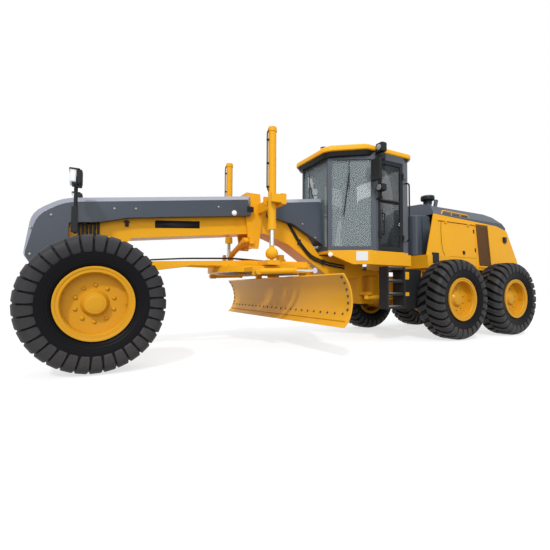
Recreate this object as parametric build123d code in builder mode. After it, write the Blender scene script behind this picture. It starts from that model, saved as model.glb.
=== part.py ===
"""Motor grader with an articulated frame, a six-sided cab and a tandem rear drive. Millimetres.

Frame: +X forward, +Y to the driver's left, +Z up. The origin is on the ground, at the centre of the
overall length and width. Each sub-part is one BuildPart block, and its STEP file carries its name.
"""

from build123d import *
from math import cos, radians, sin, sqrt
import os

# ---------------------------------------------------------------- driving dimensions

OVERALL_LENGTH = 9130.0
NOSE_OVERHANG = 710.0  # the nose ahead of the front axle
WHEELBASE = 6220.0  # front axle to the middle of the tandems
TREAD = 2160.0  # across the wheels' middle planes
TANDEM_PITCH = 1540.0  # middle wheel to rear wheel

TYRE_DIAMETER = 1348.0
TYRE_WIDTH = 445.0
RIM_SEAT_DIAMETER = 635.0
RIM_FLANGE_DIAMETER = 712.0
RUN = 0.5  # radial clearance of a pin or shaft in its bore
SEAT = 0.3  # gap between pieces of one body that rest on each other
EYE_EDGE = 2.0  # how far a rod's eye is wider than its rod, each way

FRONT_AXLE_X = OVERALL_LENGTH / 2 - NOSE_OVERHANG
TANDEM_X = FRONT_AXLE_X - WHEELBASE
WHEEL_R = TYRE_DIAMETER / 2
AXLE_Z = WHEEL_R  # the wheels stand on the ground

# stations along the frame
HITCH_X = TANDEM_X + 1620.0  # vertical articulation pins
CAB_REAR_X = HITCH_X - 200.0
CAB_DOOR_X = CAB_REAR_X + 180.0  # rear edge of the doors
CAB_KINK_X = CAB_DOOR_X + 610.0  # where the doors end and the corner windows start
CAB_FRONT_X = CAB_KINK_X + 650.0
LINKAGE_X = HITCH_X + 2480.0  # the bar round the boom that carries the lift cylinders
CIRCLE_X = HITCH_X + 2290.0  # the circle's turning axis
BALL_X = FRONT_AXLE_X - 470.0  # the drawbar's ball
BALL_Z = 1110.0
BALL_R = 60.0

# front frame
BOOM_HALF = 170.0  # half width of the boom's box
COVER_WALL = 12.0
BOOM_FRONT_X = FRONT_AXLE_X + 280.0
PIVOT_LUG_Z = 620.0  # foot of the lugs that hold the front axle
AXLE_PIVOT_Z = 720.0
AXLE_PIVOT_R = 45.0
HITCH_PIN_R = 50.0
HITCH_LOW_Z = 580.0
HITCH_TOP_Z = 1170.0
HITCH_LUG = 90.0  # thickness of each of the front frame's two hitch lugs

# cab
CAB_FLOOR_Z = 1450.0
ROOF_TOP_Z = 3190.0
CAB_ROOF_Z = ROOF_TOP_Z - 130.0
CAB_GLASS_TOP_Z = CAB_ROOF_Z - 70.0
CAB_NOSE_HALF = 385.0  # half width across the front window
CAB_HALF = 780.0  # half width across the doors
CAB_REAR_HALF = 720.0
PILLAR = 60.0
GLASS = 8.0
SILL_Z = 1225.0

# lift, circle and blade
LIFT_Y = 810.0
LIFT_PIVOT_Z = 2030.0
LIFT_EYE_Z = 1300.0
LIFT_TUBE_R = 55.0
LIFT_ROD_R = 32.0
CIRCLE_R = 780.0
CIRCLE_BORE_R = 640.0
CIRCLE_Z = 1060.0  # underside of the ring
CIRCLE_THICK = 80.0
BLADE_LENGTH = 3660.0
BLADE_R = 460.0  # radius of the moldboard's face
BLADE_PLATE = 22.0
BLADE_FACE_X = CIRCLE_X + 145.0  # the face's centre of curvature
BLADE_FACE_Z = 681.0
BLADE_TOP_ANGLE = 43.0  # the face's top and bottom, seen from its centre of curvature
BLADE_LOW_ANGLE = 30.0
BLADE_LOW_Z = 385.0  # the cutting edge's tip
TIP_X = CIRCLE_X - 420.0  # hinge that tips the blade
TIP_Z = 520.0
ARM_Y = 520.0  # middle of the circle's side arms
ARM_THICK = 45.0
BRACKET_Y = 850.0  # middle of the plates that carry the blade
BRACKET_THICK = 60.0
TIP_CYL_Y = 930.0
RAIL_THICK = 50.0

# front axle
KINGPIN_Y = 800.0
LEAN_Y = 680.0
LEAN_Z = 560.0
LEAN_BAR_Z = 920.0
LEAN_CYL_Z = 850.0
STEER_ARM = 220.0
TIE_Z = 420.0
ARM_LOW_Z = 456.0  # underside of the steering arms, clear of the axle's cheeks when they lean
STEER_CYL_Z = 625.0

LIFT_TUBE_LOW_Z = 1620.0
LIFT_TUBE_TOP_Z = 3020.0
RAIL_LOW_Z = 590.0
RAIL_HIGH_Z = 820.0
RAIL_REAR_X = CIRCLE_X - 385.0
RAIL_FRONT_X = CIRCLE_X - 350.0
RAIL_HALF = 1450.0
SLIDE_CYL_X = CIRCLE_X - 425.0  # side shift cylinder
SLIDE_CYL_Z = 720.0
TIP_CYL_X = CIRCLE_X + 450.0
TIP_CYL_Z = 1050.0
TIP_EYE_X = CIRCLE_X - 410.0
TIP_EYE_Z = 1085.0
SHIFT_X = LINKAGE_X + 130.0  # centre shift cylinder
SHIFT_PIVOT_Y = 200.0
SHIFT_PIVOT_Z = 1540.0
SHIFT_EYE_Y = -470.0
SHIFT_EYE_Z = 1330.0
SHIFT_EAR_AHEAD = 60.0  # clears the eye where the drawbar's swing carries the ear back towards it
ARTIC_Z = 698.0
ARTIC_FRONT_X = HITCH_X + 390.0  # articulation cylinders: pins on the front frame
ARTIC_FRONT_Y = 340.0
ARTIC_REAR_X = HITCH_X - 570.0  # and on the rear frame
ARTIC_REAR_Y = 450.0

# rear frame and hood
REAR_X = -OVERALL_LENGTH / 2
FRAME_BEAM_Y = 400.0
HOOD_HALF = 780.0
HOOD_TOP_HALF = 700.0
HOOD_LOW_Z = 1215.0
HOOD_TOP_Z = 2215.0
HOOD_WALL = 14.0
TOW_HOLE_R = 21.0
BOX_REAR_X = TANDEM_X + 1250.0
BOX_FRONT_X = TANDEM_X + 1690.0
LADDER_REAR_X = TANDEM_X + 1760.0
LADDER_FRONT_X = TANDEM_X + 2150.0

os.makedirs("parts", exist_ok=True)


# ---------------------------------------------------------------- helpers


def side_slab(points, y_low, y_high, mode=Mode.ADD):
    """A plate whose outline is seen from the side, as (X, Z) points, between two Y stations."""
    with BuildSketch(Plane.XZ.offset(-y_high)) as outline:
        with BuildLine():
            Polyline(*points, close=True)
        make_face()
    extrude(outline.sketch, amount=y_high - y_low, mode=mode)


def plan_slab(points, z_low, z_high, mode=Mode.ADD):
    """A plate whose outline is seen from above, as (X, Y) points, between two heights."""
    with BuildSketch(Plane.XY.offset(z_low)) as outline:
        with BuildLine():
            Polyline(*points, close=True)
        make_face()
    extrude(outline.sketch, amount=z_high - z_low, mode=mode)


def front_slab(points, x_low, x_high, mode=Mode.ADD):
    """A plate whose outline is seen from the front, as (Y, Z) points, between two X stations."""
    with BuildSketch(Plane.YZ.offset(x_low)) as outline:
        with BuildLine():
            Polyline(*points, close=True)
        make_face()
    extrude(outline.sketch, amount=x_high - x_low, mode=mode)


def block(x_low, x_high, y_low, y_high, z_low, z_high, mode=Mode.ADD):
    """A rectangular block between stations along each axis."""
    plan_slab(((x_low, y_low), (x_high, y_low), (x_high, y_high), (x_low, y_high)), z_low, z_high, mode)


def bar(start, end, radius, mode=Mode.ADD):
    """A round bar, or with Mode.SUBTRACT a round hole, from one point to another."""
    along = Vector(*end) - Vector(*start)
    with BuildSketch(Plane(origin=start, z_dir=along)) as section:
        Circle(radius)
    extrude(section.sketch, amount=along.length, mode=mode)


def mirrored(points):
    """Points of the left half, as (along, across), followed by the right half's in closing order."""
    return tuple(points) + tuple((along, -across) for along, across in reversed(points))


def finish(part, name):
    """Labels a finished piece and writes it to its own file."""
    part.label = name
    export_step(part, f"parts/{name}.step")


def towards(start, end, distance):
    """The point that lies a distance along the way from one point to another."""
    along = (Vector(*end) - Vector(*start)).normalized()
    point = Vector(*start) + along * distance
    return (point.X, point.Y, point.Z)


def cylinder_barrel(pivot, eye, length, tube_r, rod_r, pin_r, pin_axis):
    """A hydraulic barrel: an eye at the pivot, a tube and its gland, bored for the rod."""
    eye_half = tube_r * 0.8
    across = Vector(*pin_axis)
    bar(towards(pivot, eye, pin_r), towards(pivot, eye, length), tube_r)
    bar(towards(pivot, eye, length - tube_r), towards(pivot, eye, length), tube_r * 1.15)
    low = Vector(*pivot) - across * eye_half
    high = Vector(*pivot) + across * eye_half
    bar(tuple(low), tuple(high), pin_r * 2)
    bar(tuple(low), tuple(high), pin_r + RUN, Mode.SUBTRACT)
    bar(towards(pivot, eye, pin_r * 2.6), towards(pivot, eye, length + 1), rod_r + RUN, Mode.SUBTRACT)


def cylinder_rod(pivot, eye, start, rod_r, pin_r, pin_axis):
    """A piston rod that starts inside its barrel and ends in an eye, with its pin pressed in."""
    across = Vector(*pin_axis)
    distance = (Vector(*eye) - Vector(*pivot)).length
    bar(towards(pivot, eye, start), towards(pivot, eye, distance - pin_r), rod_r)
    low = Vector(*eye) - across * (rod_r + EYE_EDGE)
    high = Vector(*eye) + across * (rod_r + EYE_EDGE)
    bar(tuple(low), tuple(high), pin_r * 2)


# ---------------------------------------------------------------- wheels

BEAD_HALF = 176.0
TYRE_SIDES = 36
TYRE_SECTIONS = (  # outward of the middle plane, radius
    (BEAD_HALF, RIM_FLANGE_DIAMETER / 2 + 6),
    (TYRE_WIDTH / 2, WHEEL_R - 190),
    (TYRE_WIDTH / 2 - 12, WHEEL_R - 55),
    (TYRE_WIDTH / 2 - 52, WHEEL_R),
)
RIM_HALF = 192.0
RIM_WALL = 16.0
HUB_R = 130.0
SPINDLE_R = 48.0
SPINDLE_END = 30.0  # how far the spindles reach past the wheels' middle planes


def tyre_corner(x, station, radius, side_number):
    """A corner of the many-sided tyre at a station across it; the first corner is the lowest."""
    turn = radians(side_number * 360 / TYRE_SIDES)
    return (x + radius * sin(turn), station, AXLE_Z - radius * cos(turn))


def make_tyre(name, x, side):
    """A pneumatic tyre of flat faces about the wheel's axis, with one corner on the ground."""
    y = side * TREAD / 2
    outward = [(y + across, radius) for across, radius in TYRE_SECTIONS]
    inward = [(y - across, radius) for across, radius in TYRE_SECTIONS]
    rings = [
        [tyre_corner(x, station, radius, number) for number in range(TYRE_SIDES)]
        for station, radius in inward + outward[::-1]
    ]
    outlines = [rings[0], rings[-1]]
    for ring, following in zip(rings, rings[1:]):
        for number in range(TYRE_SIDES):
            after = (number + 1) % TYRE_SIDES
            outlines.append([ring[number], ring[after], following[after], following[number]])
    with BuildPart() as tyre:
        add(Solid(Shell([Face(Wire.make_polygon(outline)) for outline in outlines])))
        bar(
            (x, y - TYRE_WIDTH, AXLE_Z),
            (x, y + TYRE_WIDTH, AXLE_Z), RIM_SEAT_DIAMETER / 2 + RUN, Mode.SUBTRACT
        )
    finish(tyre.part, name)


def make_rim(name, x, side, disc_out, hub_out):
    """A rim with its disc and hub; disc_out and hub_out are outward of the wheel's middle plane."""
    y = side * TREAD / 2
    seat_r = RIM_SEAT_DIAMETER / 2
    flange_r = RIM_FLANGE_DIAMETER / 2
    flange_in = BEAD_HALF + SEAT
    outline = (  # outward of the middle plane, radius
        (-RIM_HALF, seat_r - RIM_WALL),
        (-RIM_HALF, flange_r),
        (-flange_in, flange_r),
        (-flange_in, seat_r),
        (flange_in, seat_r),
        (flange_in, flange_r),
        (RIM_HALF, flange_r),
        (RIM_HALF, seat_r - RIM_WALL),
        (disc_out + RIM_WALL, seat_r - RIM_WALL * 1.8),
        (disc_out + RIM_WALL, HUB_R),
        (hub_out, HUB_R * 0.72),
        (hub_out, 0),
        (SPINDLE_END + 6, 0),
        (SPINDLE_END + 6, SPINDLE_R + RUN),
        (disc_out - 90, SPINDLE_R + RUN),
        (disc_out - 90, HUB_R * 0.75),
        (disc_out, HUB_R),
        (disc_out, seat_r - RIM_WALL * 1.8),
    )
    with BuildPart() as rim:
        with BuildSketch(Plane.YZ.offset(x)):
            with BuildLine():
                Polyline(*((y + side * out, AXLE_Z + r) for out, r in outline), close=True)
            make_face()
        revolve(axis=Axis((x, y, AXLE_Z), (0, 1, 0)))
    finish(rim.part, name)


MIDDLE_X = TANDEM_X + TANDEM_PITCH / 2
REAR_WHEEL_X = TANDEM_X - TANDEM_PITCH / 2
WHEELS = (  # name, x, disc outward of the middle plane, hub's face outward
    ("front", FRONT_AXLE_X, 70.0, 165.0),
    ("middle", MIDDLE_X, 50.0, 110.0),
    ("rear", REAR_WHEEL_X, 50.0, 110.0),
)
SIDES = (("left", 1), ("right", -1))
for wheel, wheel_x, disc_at, hub_at in WHEELS:
    for side_name, side in SIDES:
        make_tyre(f"tyre_{wheel}_{side_name}", wheel_x, side)
        make_rim(f"rim_{wheel}_{side_name}", wheel_x, side, disc_at, hub_at)


# ---------------------------------------------------------------- front frame

SLOPE = (2110.0 - 1790.0) / (LINKAGE_X - BOOM_FRONT_X)  # the boom's top rises to the rear


def boom_top(x):
    """Height of the boom's top at a station."""
    return 1790.0 + SLOPE * (x - BOOM_FRONT_X)


def boom_low(x):
    """Height of the boom's underside at a station between the axle and the linkage bar."""
    front_x = FRONT_AXLE_X - 430.0
    return 1470.0 + (1655.0 - 1470.0) * (front_x - x) / (front_x - LINKAGE_X)


NECK_LOW_X = HITCH_X + 425.0  # the gooseneck's underside turns down to the hitch behind this
NECK_LOW_Z = 1030.0
HITCH_FACE_X = HITCH_X + 330.0
neck_outline = (
    (BOOM_FRONT_X, 1060.0),
    (BOOM_FRONT_X, boom_top(BOOM_FRONT_X)),
    (LINKAGE_X - 150.0, boom_top(LINKAGE_X - 150.0)),
    (HITCH_X + 1750.0, 2000.0),
    (CAB_FRONT_X + 20.0, CAB_FLOOR_Z - 70.0),
    (HITCH_FACE_X, CAB_FLOOR_Z - 70.0),
    (HITCH_FACE_X, HITCH_LOW_Z),
    (NECK_LOW_X - 25.0, HITCH_LOW_Z),
    (NECK_LOW_X, NECK_LOW_Z),
    (HITCH_X + 1080.0, NECK_LOW_Z + 20.0),
    (HITCH_X + 1850.0, 1530.0),
    (LINKAGE_X - 200.0, boom_low(LINKAGE_X - 200.0)),
    (FRONT_AXLE_X - 430.0, boom_low(FRONT_AXLE_X - 430.0)),
    (FRONT_AXLE_X - 250.0, 1240.0),
    (FRONT_AXLE_X - 230.0, 1060.0),
)
with BuildPart() as front_frame:
    side_slab(neck_outline, -BOOM_HALF, BOOM_HALF)
    # hitch lugs, round at the pin
    for lug_z in (HITCH_LOW_Z, HITCH_TOP_Z - HITCH_LUG):
        block(HITCH_X, HITCH_FACE_X + 10, -150, 150, lug_z, lug_z + HITCH_LUG)
        bar((HITCH_X, 0, lug_z), (HITCH_X, 0, lug_z + HITCH_LUG), 150)
    bar((HITCH_X, 0, HITCH_LOW_Z - 20), (HITCH_X, 0, HITCH_TOP_Z + 20), HITCH_PIN_R)
    # ears for the articulation cylinders
    for side in (1, -1):
        low_y, high_y = sorted((side * 160, side * 400))
        block(HITCH_FACE_X, ARTIC_FRONT_X + 30, low_y, high_y, 740, 790)
        bar((ARTIC_FRONT_X, side * ARTIC_FRONT_Y, 660), (ARTIC_FRONT_X, side * ARTIC_FRONT_Y, 790), 24)
    # lugs and pin of the front axle's pivot
    for lug_x in (-200.0, 130.0):
        front_slab(
            ((-170, 1070), (170, 1070), (90, PIVOT_LUG_Z), (-90, PIVOT_LUG_Z)),
            FRONT_AXLE_X + lug_x,
            FRONT_AXLE_X + lug_x + 70,
        )
    bar((FRONT_AXLE_X - 205, 0, AXLE_PIVOT_Z), (FRONT_AXLE_X + 205, 0, AXLE_PIVOT_Z), AXLE_PIVOT_R)
    # stud and ball that the drawbar turns on
    block(BALL_X + 130, FRONT_AXLE_X - 225, -110, 110, 1062, 1190)
    bar((BALL_X, 0, BALL_Z), (BALL_X + 140, 0, BALL_Z), 28)
    with Locations((BALL_X, 0, BALL_Z)):
        Sphere(BALL_R)
    # headlamp arms
    bar((FRONT_AXLE_X + 200, -560, 1430), (FRONT_AXLE_X + 200, 560, 1430), 26)
finish(front_frame.part, "front_frame")


# covers over the boom and behind the linkage bar

COVER_HALF = 270.0
NOSE_X = FRONT_AXLE_X + NOSE_OVERHANG
LINKAGE_GAP = 190.0  # half of the length of boom that the covers leave open
front_cover = (
    (NOSE_X - 90, 1070),
    (NOSE_X, 1200),
    (NOSE_X - 70, 1690),
    (FRONT_AXLE_X + 340, 1885),
    (LINKAGE_X + LINKAGE_GAP, 2190),
    (LINKAGE_X + LINKAGE_GAP, 1905),
    (FRONT_AXLE_X - 390, 1712),
    (FRONT_AXLE_X - 40, 1622),
    (FRONT_AXLE_X + 300, 1590),
    (FRONT_AXLE_X + 300, 1070),
)
rear_cover = (
    (LINKAGE_X - LINKAGE_GAP - 40, 2190),
    (CAB_FRONT_X + 5, 2330),
    (CAB_FRONT_X + 5, 1550),
    (HITCH_X + 1830, 1850),
    (LINKAGE_X - LINKAGE_GAP - 40, 1930),
)
with BuildPart() as frame_covers:
    side_slab(front_cover, -COVER_HALF, COVER_HALF)
    side_slab(rear_cover, -COVER_HALF, COVER_HALF)
    # hollow over the boom, and open below
    side_slab(
        (
            (NOSE_X - 105, 1060),
            (NOSE_X - 25, 1210),
            (NOSE_X - 85, 1675),
            (FRONT_AXLE_X + 335, 1870),
            (LINKAGE_X + LINKAGE_GAP - 1, 2175),
            (LINKAGE_X + LINKAGE_GAP - 1, 1000),
        ),
        -COVER_HALF + COVER_WALL,
        COVER_HALF - COVER_WALL,
        Mode.SUBTRACT,
    )
    side_slab(
        (
            (LINKAGE_X - LINKAGE_GAP, 2175),
            (CAB_FRONT_X + 4, 2318),
            (CAB_FRONT_X + 4, 1400),
            (LINKAGE_X - LINKAGE_GAP, 1400),
        ),
        -COVER_HALF + COVER_WALL,
        COVER_HALF - COVER_WALL,
        Mode.SUBTRACT,
    )
    # ribs that seat the covers on the boom
    for side in (1, -1):
        low_y, high_y = sorted((side * (BOOM_HALF + SEAT), side * (COVER_HALF - COVER_WALL / 2)))
        for rib_x, rib_z in (
            (FRONT_AXLE_X - 200, 1700),
            (FRONT_AXLE_X - 1200, 1820),
            (LINKAGE_X - 600, 1900),
        ):
            block(rib_x, rib_x + 20, low_y, high_y, rib_z, rib_z + 50)
finish(frame_covers.part, "frame_covers")


# linkage bar: a saddle round the boom with a fork for each lift cylinder

SADDLE_HALF = 205.0
with BuildPart() as linkage_bar:
    for side in (1, -1):
        low_y, high_y = sorted((side * (BOOM_HALF + SEAT), side * SADDLE_HALF))
        side_slab(
            (
                (LINKAGE_X - 110, 2260),
                (LINKAGE_X + 110, 2260),
                (LINKAGE_X + 120, 1900),
                (LINKAGE_X + 60, 1430),
                (LINKAGE_X - 90, 1430),
                (LINKAGE_X - 150, 1900),
            ),
            low_y,
            high_y,
        )
        # arm out to the fork behind the cylinder, and its two cheeks
        low_y, high_y = sorted((side * (SADDLE_HALF - 10), side * (LIFT_Y + 130)))
        block(LINKAGE_X - 150, LINKAGE_X - 75, low_y, high_y, LIFT_PIVOT_Z - 70, LIFT_PIVOT_Z + 70)
        for cheek in (-1, 1):
            low_y, high_y = sorted((side * LIFT_Y + cheek * 92, side * LIFT_Y + cheek * 130))
            block(LINKAGE_X - 100, LINKAGE_X + 70, low_y, high_y, LIFT_PIVOT_Z - 55, LIFT_PIVOT_Z + 55)
            bar(
                (LINKAGE_X, side * LIFT_Y + cheek * 95, LIFT_PIVOT_Z),
                (LINKAGE_X, side * LIFT_Y + cheek * (LIFT_TUBE_R + 4), LIFT_PIVOT_Z),
                22,
            )
    low_z = boom_top(LINKAGE_X - 150) + SEAT
    block(LINKAGE_X - 110, LINKAGE_X + 110, -SADDLE_HALF, SADDLE_HALF, low_z, 2260)
    bar((LINKAGE_X - 20, -SADDLE_HALF, 1500), (LINKAGE_X - 20, SADDLE_HALF, 1500), 62)
    # ear and pin of the centre shift cylinder
    block(
        LINKAGE_X, SHIFT_X - 55, SHIFT_PIVOT_Y - 60, SADDLE_HALF + 40, SHIFT_PIVOT_Z - 45, SHIFT_PIVOT_Z + 45
    )
    bar((SHIFT_X - 70, SHIFT_PIVOT_Y, SHIFT_PIVOT_Z), (SHIFT_X + 36, SHIFT_PIVOT_Y, SHIFT_PIVOT_Z), 22)
finish(linkage_bar.part, "linkage_bar")


# ---------------------------------------------------------------- cab

cab_plan = (  # left half of the cab's outline at the glass, front to rear
    (CAB_FRONT_X, CAB_NOSE_HALF),
    (CAB_KINK_X, CAB_HALF),
    (CAB_DOOR_X, CAB_HALF),
    (CAB_REAR_X, CAB_REAR_HALF),
)


def inset(points, distance):
    """The cab's plan moved inwards: forward and rear ends in X, sides in Y."""
    moved = []
    for x, y in points:
        shift = -distance if x > CAB_KINK_X else (distance if x <= CAB_REAR_X else 0)
        moved.append((x + shift, y - distance))
    return tuple(moved)


with BuildPart() as cab_floor:
    plan_slab(mirrored(cab_plan), CAB_FLOOR_Z - 50, CAB_FLOOR_Z)
    for side in (1, -1):
        low_y, high_y = sorted((side * CAB_HALF, side * (CAB_HALF - 110)))
        side_slab(
            (
                (CAB_REAR_X, CAB_FLOOR_Z - 40),
                (CAB_REAR_X, SILL_Z),
                (CAB_KINK_X + 60, SILL_Z),
                (CAB_KINK_X + 130, CAB_FLOOR_Z - 40),
            ),
            low_y,
            high_y,
        )
        # mounts on the gooseneck
        low_y, high_y = sorted((side * 60, side * 150))
        block(CAB_KINK_X, CAB_KINK_X + 120, low_y, high_y, CAB_FLOOR_Z - 70 + SEAT, CAB_FLOOR_Z - 40)
finish(cab_floor.part, "cab_floor")


def wall_cut(start, end, margin, low, top):
    """Cuts a window through the wall that stands on the line from start to end, given as (X, Y)."""
    along = Vector(end[0] - start[0], end[1] - start[1], 0).normalized()
    across = Vector(-along.Y, along.X, 0) * (PILLAR * 1.6)
    a = Vector(start[0], start[1], 0) + along * margin
    b = Vector(end[0], end[1], 0) - along * margin
    plan_slab(
        tuple((p.X, p.Y) for p in (a - across, b - across, b + across, a + across)), low, top, Mode.SUBTRACT
    )


DOOR_GAP = 6.0
DOOR_PIN_X = CAB_DOOR_X + 1
DOOR_PIN_Y = CAB_HALF + 16
DOOR_PIN_R = 6.0
DOOR_KNUCKLE_R = 12.0
DOOR_HINGES_Z = (CAB_FLOOR_Z + 200, CAB_ROOF_Z - 360)
DOOR_KNUCKLE = 60.0  # length of each knuckle
with BuildPart() as cab_frame:
    plan_slab(mirrored(cab_plan), CAB_FLOOR_Z + SEAT, CAB_ROOF_Z)
    plan_slab(mirrored(inset(cab_plan, PILLAR)), CAB_FLOOR_Z, CAB_GLASS_TOP_Z, Mode.SUBTRACT)
    # front, rear and corner windows
    window_low = CAB_FLOOR_Z + 70
    window_top = CAB_GLASS_TOP_Z - 60
    front_half = CAB_NOSE_HALF - 35
    block(CAB_FRONT_X - 90, CAB_FRONT_X + 10, -front_half, front_half, window_low, window_top, Mode.SUBTRACT)
    block(CAB_REAR_X - 10, CAB_REAR_X + 90, -580, 580, 1900, window_top, Mode.SUBTRACT)
    for side in (1, -1):
        wall_cut(
            (CAB_KINK_X, side * CAB_HALF), (CAB_FRONT_X, side * CAB_NOSE_HALF), 65, window_low, window_top
        )
        # door opening
        low_y, high_y = sorted((side * (CAB_HALF - PILLAR - 10), side * (CAB_HALF + 10)))
        block(
            CAB_DOOR_X, CAB_KINK_X - 50, low_y, high_y, CAB_FLOOR_Z - 10, CAB_GLASS_TOP_Z - 40, Mode.SUBTRACT
        )
        # lugs and pins of the door's hinges
        low_y, high_y = sorted((side * CAB_HALF, side * (DOOR_PIN_Y + DOOR_KNUCKLE_R)))
        for hinge_z in DOOR_HINGES_Z:
            block(CAB_DOOR_X - 45, DOOR_PIN_X, low_y, high_y, hinge_z - 25, hinge_z - RUN)
            lug_low = (DOOR_PIN_X, side * DOOR_PIN_Y, hinge_z - 25)
            bar(lug_low, (DOOR_PIN_X, side * DOOR_PIN_Y, hinge_z - RUN), DOOR_KNUCKLE_R)
            pin_top = hinge_z + DOOR_KNUCKLE + 5
            bar(
                (DOOR_PIN_X, side * DOOR_PIN_Y, hinge_z - 20),
                (DOOR_PIN_X, side * DOOR_PIN_Y, pin_top), DOOR_PIN_R
            )
finish(cab_frame.part, "cab_frame")

with BuildPart() as cab_roof:
    roof_plan = (
        (CAB_FRONT_X + 40, CAB_NOSE_HALF + 10),
        (CAB_KINK_X, CAB_HALF + 15),
        (CAB_REAR_X - 30, CAB_REAR_HALF + 20),
    )
    with BuildSketch(Plane.XY.offset(CAB_ROOF_Z + SEAT)):
        with BuildLine():
            Polyline(*mirrored(roof_plan), close=True)
        make_face()
    extrude(amount=ROOF_TOP_Z - CAB_ROOF_Z, taper=18)
finish(cab_roof.part, "cab_roof")


def pane(start, end, low, top, depth):
    """A flat pane standing on the line from start to end, given as (X, Y), set inwards by depth."""
    along = Vector(end[0] - start[0], end[1] - start[1], 0).normalized()
    inward = Vector(-along.Y, along.X, 0)
    a = Vector(start[0], start[1], 0) + inward * depth
    b = Vector(end[0], end[1], 0) + inward * depth
    c = b + inward * GLASS
    d = a + inward * GLASS
    plan_slab(tuple((p.X, p.Y) for p in (a, b, c, d)), low, top)


PANE_DEPTH = 22.0
with BuildPart() as cab_glass:
    low = window_low + SEAT
    top = window_top - SEAT
    # the panes run so that inwards is always to their left
    pane((CAB_FRONT_X, -front_half + SEAT), (CAB_FRONT_X, front_half - SEAT), low, top, PANE_DEPTH)
    pane((CAB_REAR_X, 580 - SEAT), (CAB_REAR_X, -580 + SEAT), 1900 + SEAT, top, PANE_DEPTH)
    span = sqrt((CAB_FRONT_X - CAB_KINK_X) ** 2 + (CAB_NOSE_HALF - CAB_HALF) ** 2)
    slope = ((CAB_FRONT_X - CAB_KINK_X) / span, (CAB_HALF - CAB_NOSE_HALF) / span)
    first = (CAB_KINK_X + slope[0] * 65.5, CAB_HALF - slope[1] * 65.5)
    last = (CAB_FRONT_X - slope[0] * 65.5, CAB_NOSE_HALF + slope[1] * 65.5)
    pane(last, first, low, top, PANE_DEPTH)
    pane((first[0], -first[1]), (last[0], -last[1]), low, top, PANE_DEPTH)
finish(cab_glass.part, "cab_glass")

DOOR_LOW_Z = CAB_FLOOR_Z + 8
DOOR_TOP_Z = CAB_GLASS_TOP_Z - 48
for side_name, side in SIDES:
    with BuildPart() as cab_door:
        low_y, high_y = sorted((side * (CAB_HALF - 38), side * CAB_HALF))
        block(CAB_DOOR_X + DOOR_GAP, CAB_KINK_X - 50 - DOOR_GAP, low_y, high_y, DOOR_LOW_Z, DOOR_TOP_Z)
        block(
            CAB_DOOR_X + 60, CAB_KINK_X - 104, low_y - 5, high_y + 5, DOOR_LOW_Z + 60, DOOR_TOP_Z - 55,
            Mode.SUBTRACT,
        )
        # pane in the frame
        low_y, high_y = sorted((side * (CAB_HALF - 24), side * (CAB_HALF - 16)))
        block(CAB_DOOR_X + 55, CAB_KINK_X - 99, low_y, high_y, DOOR_LOW_Z + 55, DOOR_TOP_Z - 50)
        # knuckles round the hinge pins
        low_y, high_y = sorted((side * (CAB_HALF - 5), side * (CAB_HALF + 12)))
        for hinge_z in DOOR_HINGES_Z:
            axis_low = (DOOR_PIN_X, side * DOOR_PIN_Y, hinge_z)
            axis_top = (DOOR_PIN_X, side * DOOR_PIN_Y, hinge_z + DOOR_KNUCKLE)
            bar(axis_low, axis_top, DOOR_KNUCKLE_R)
            block(CAB_DOOR_X + DOOR_GAP, CAB_DOOR_X + 50, low_y, high_y, hinge_z, hinge_z + DOOR_KNUCKLE)
            bar(axis_low, axis_top, DOOR_PIN_R + RUN, Mode.SUBTRACT)
    finish(cab_door.part, f"cab_door_{side_name}")

SEAT_X = CAB_REAR_X + 420
with BuildPart() as cab_interior:
    block(SEAT_X - 200, CAB_FRONT_X - 300, -120, 120, CAB_FLOOR_Z + SEAT, CAB_FLOOR_Z + 12)
    block(SEAT_X - 200, SEAT_X + 200, -200, 200, CAB_FLOOR_Z + SEAT, CAB_FLOOR_Z + 330)
    block(SEAT_X - 250, SEAT_X + 250, -250, 250, CAB_FLOOR_Z + 320, CAB_FLOOR_Z + 450)
    side_slab(
        (
            (SEAT_X - 250, CAB_FLOOR_Z + 440),
            (SEAT_X - 130, CAB_FLOOR_Z + 440),
            (SEAT_X - 200, CAB_FLOOR_Z + 1080),
            (SEAT_X - 300, CAB_FLOOR_Z + 1080),
        ),
        -230,
        230,
    )
    # steering column and its wheel
    column_foot = (CAB_FRONT_X - 330, 0, CAB_FLOOR_Z + 11)
    column_top = (CAB_FRONT_X - 450, 0, CAB_FLOOR_Z + 720)
    bar(column_foot, column_top, 60)
    tilt = Vector(*column_top) - Vector(*column_foot)
    with BuildSketch(Plane(origin=column_top, z_dir=tilt)):
        Circle(200)
    extrude(amount=28)
finish(cab_interior.part, "cab_interior")


# ---------------------------------------------------------------- lamps and mirrors

POST_Y = 550.0
with BuildPart() as lamps_and_mirrors:
    for side in (1, -1):
        post_x = FRONT_AXLE_X + 200
        bar((post_x, side * POST_Y, 1430 + 26 + SEAT), (post_x, side * POST_Y, 1990), 20)
        block(post_x - 50, post_x + 40, side * POST_Y - 90, side * POST_Y + 90, 1965, 2110)
    # beacon on the roof
    bar((CAB_FRONT_X - 190, 0, ROOF_TOP_Z + 2 * SEAT), (CAB_FRONT_X - 190, 0, ROOF_TOP_Z + 110), 55)
    # mirrors on the cab's corners
    for side in (1, -1):
        wall = Vector(CAB_FRONT_X - CAB_KINK_X, side * (CAB_NOSE_HALF - CAB_HALF), 0).normalized()
        outward = Vector(side * -wall.Y, side * wall.X, 0)
        corner = Vector(CAB_KINK_X, side * CAB_HALF, CAB_ROOF_Z - 360) + wall * 32
        foot = corner + outward * SEAT
        out = corner + outward * 220
        bar(tuple(foot), tuple(out), 14)
        block(out.X - 25, out.X + 25, out.Y - 90, out.Y + 90, CAB_ROOF_Z - 540, CAB_ROOF_Z - 200)
finish(lamps_and_mirrors.part, "lamps_and_mirrors")


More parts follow.
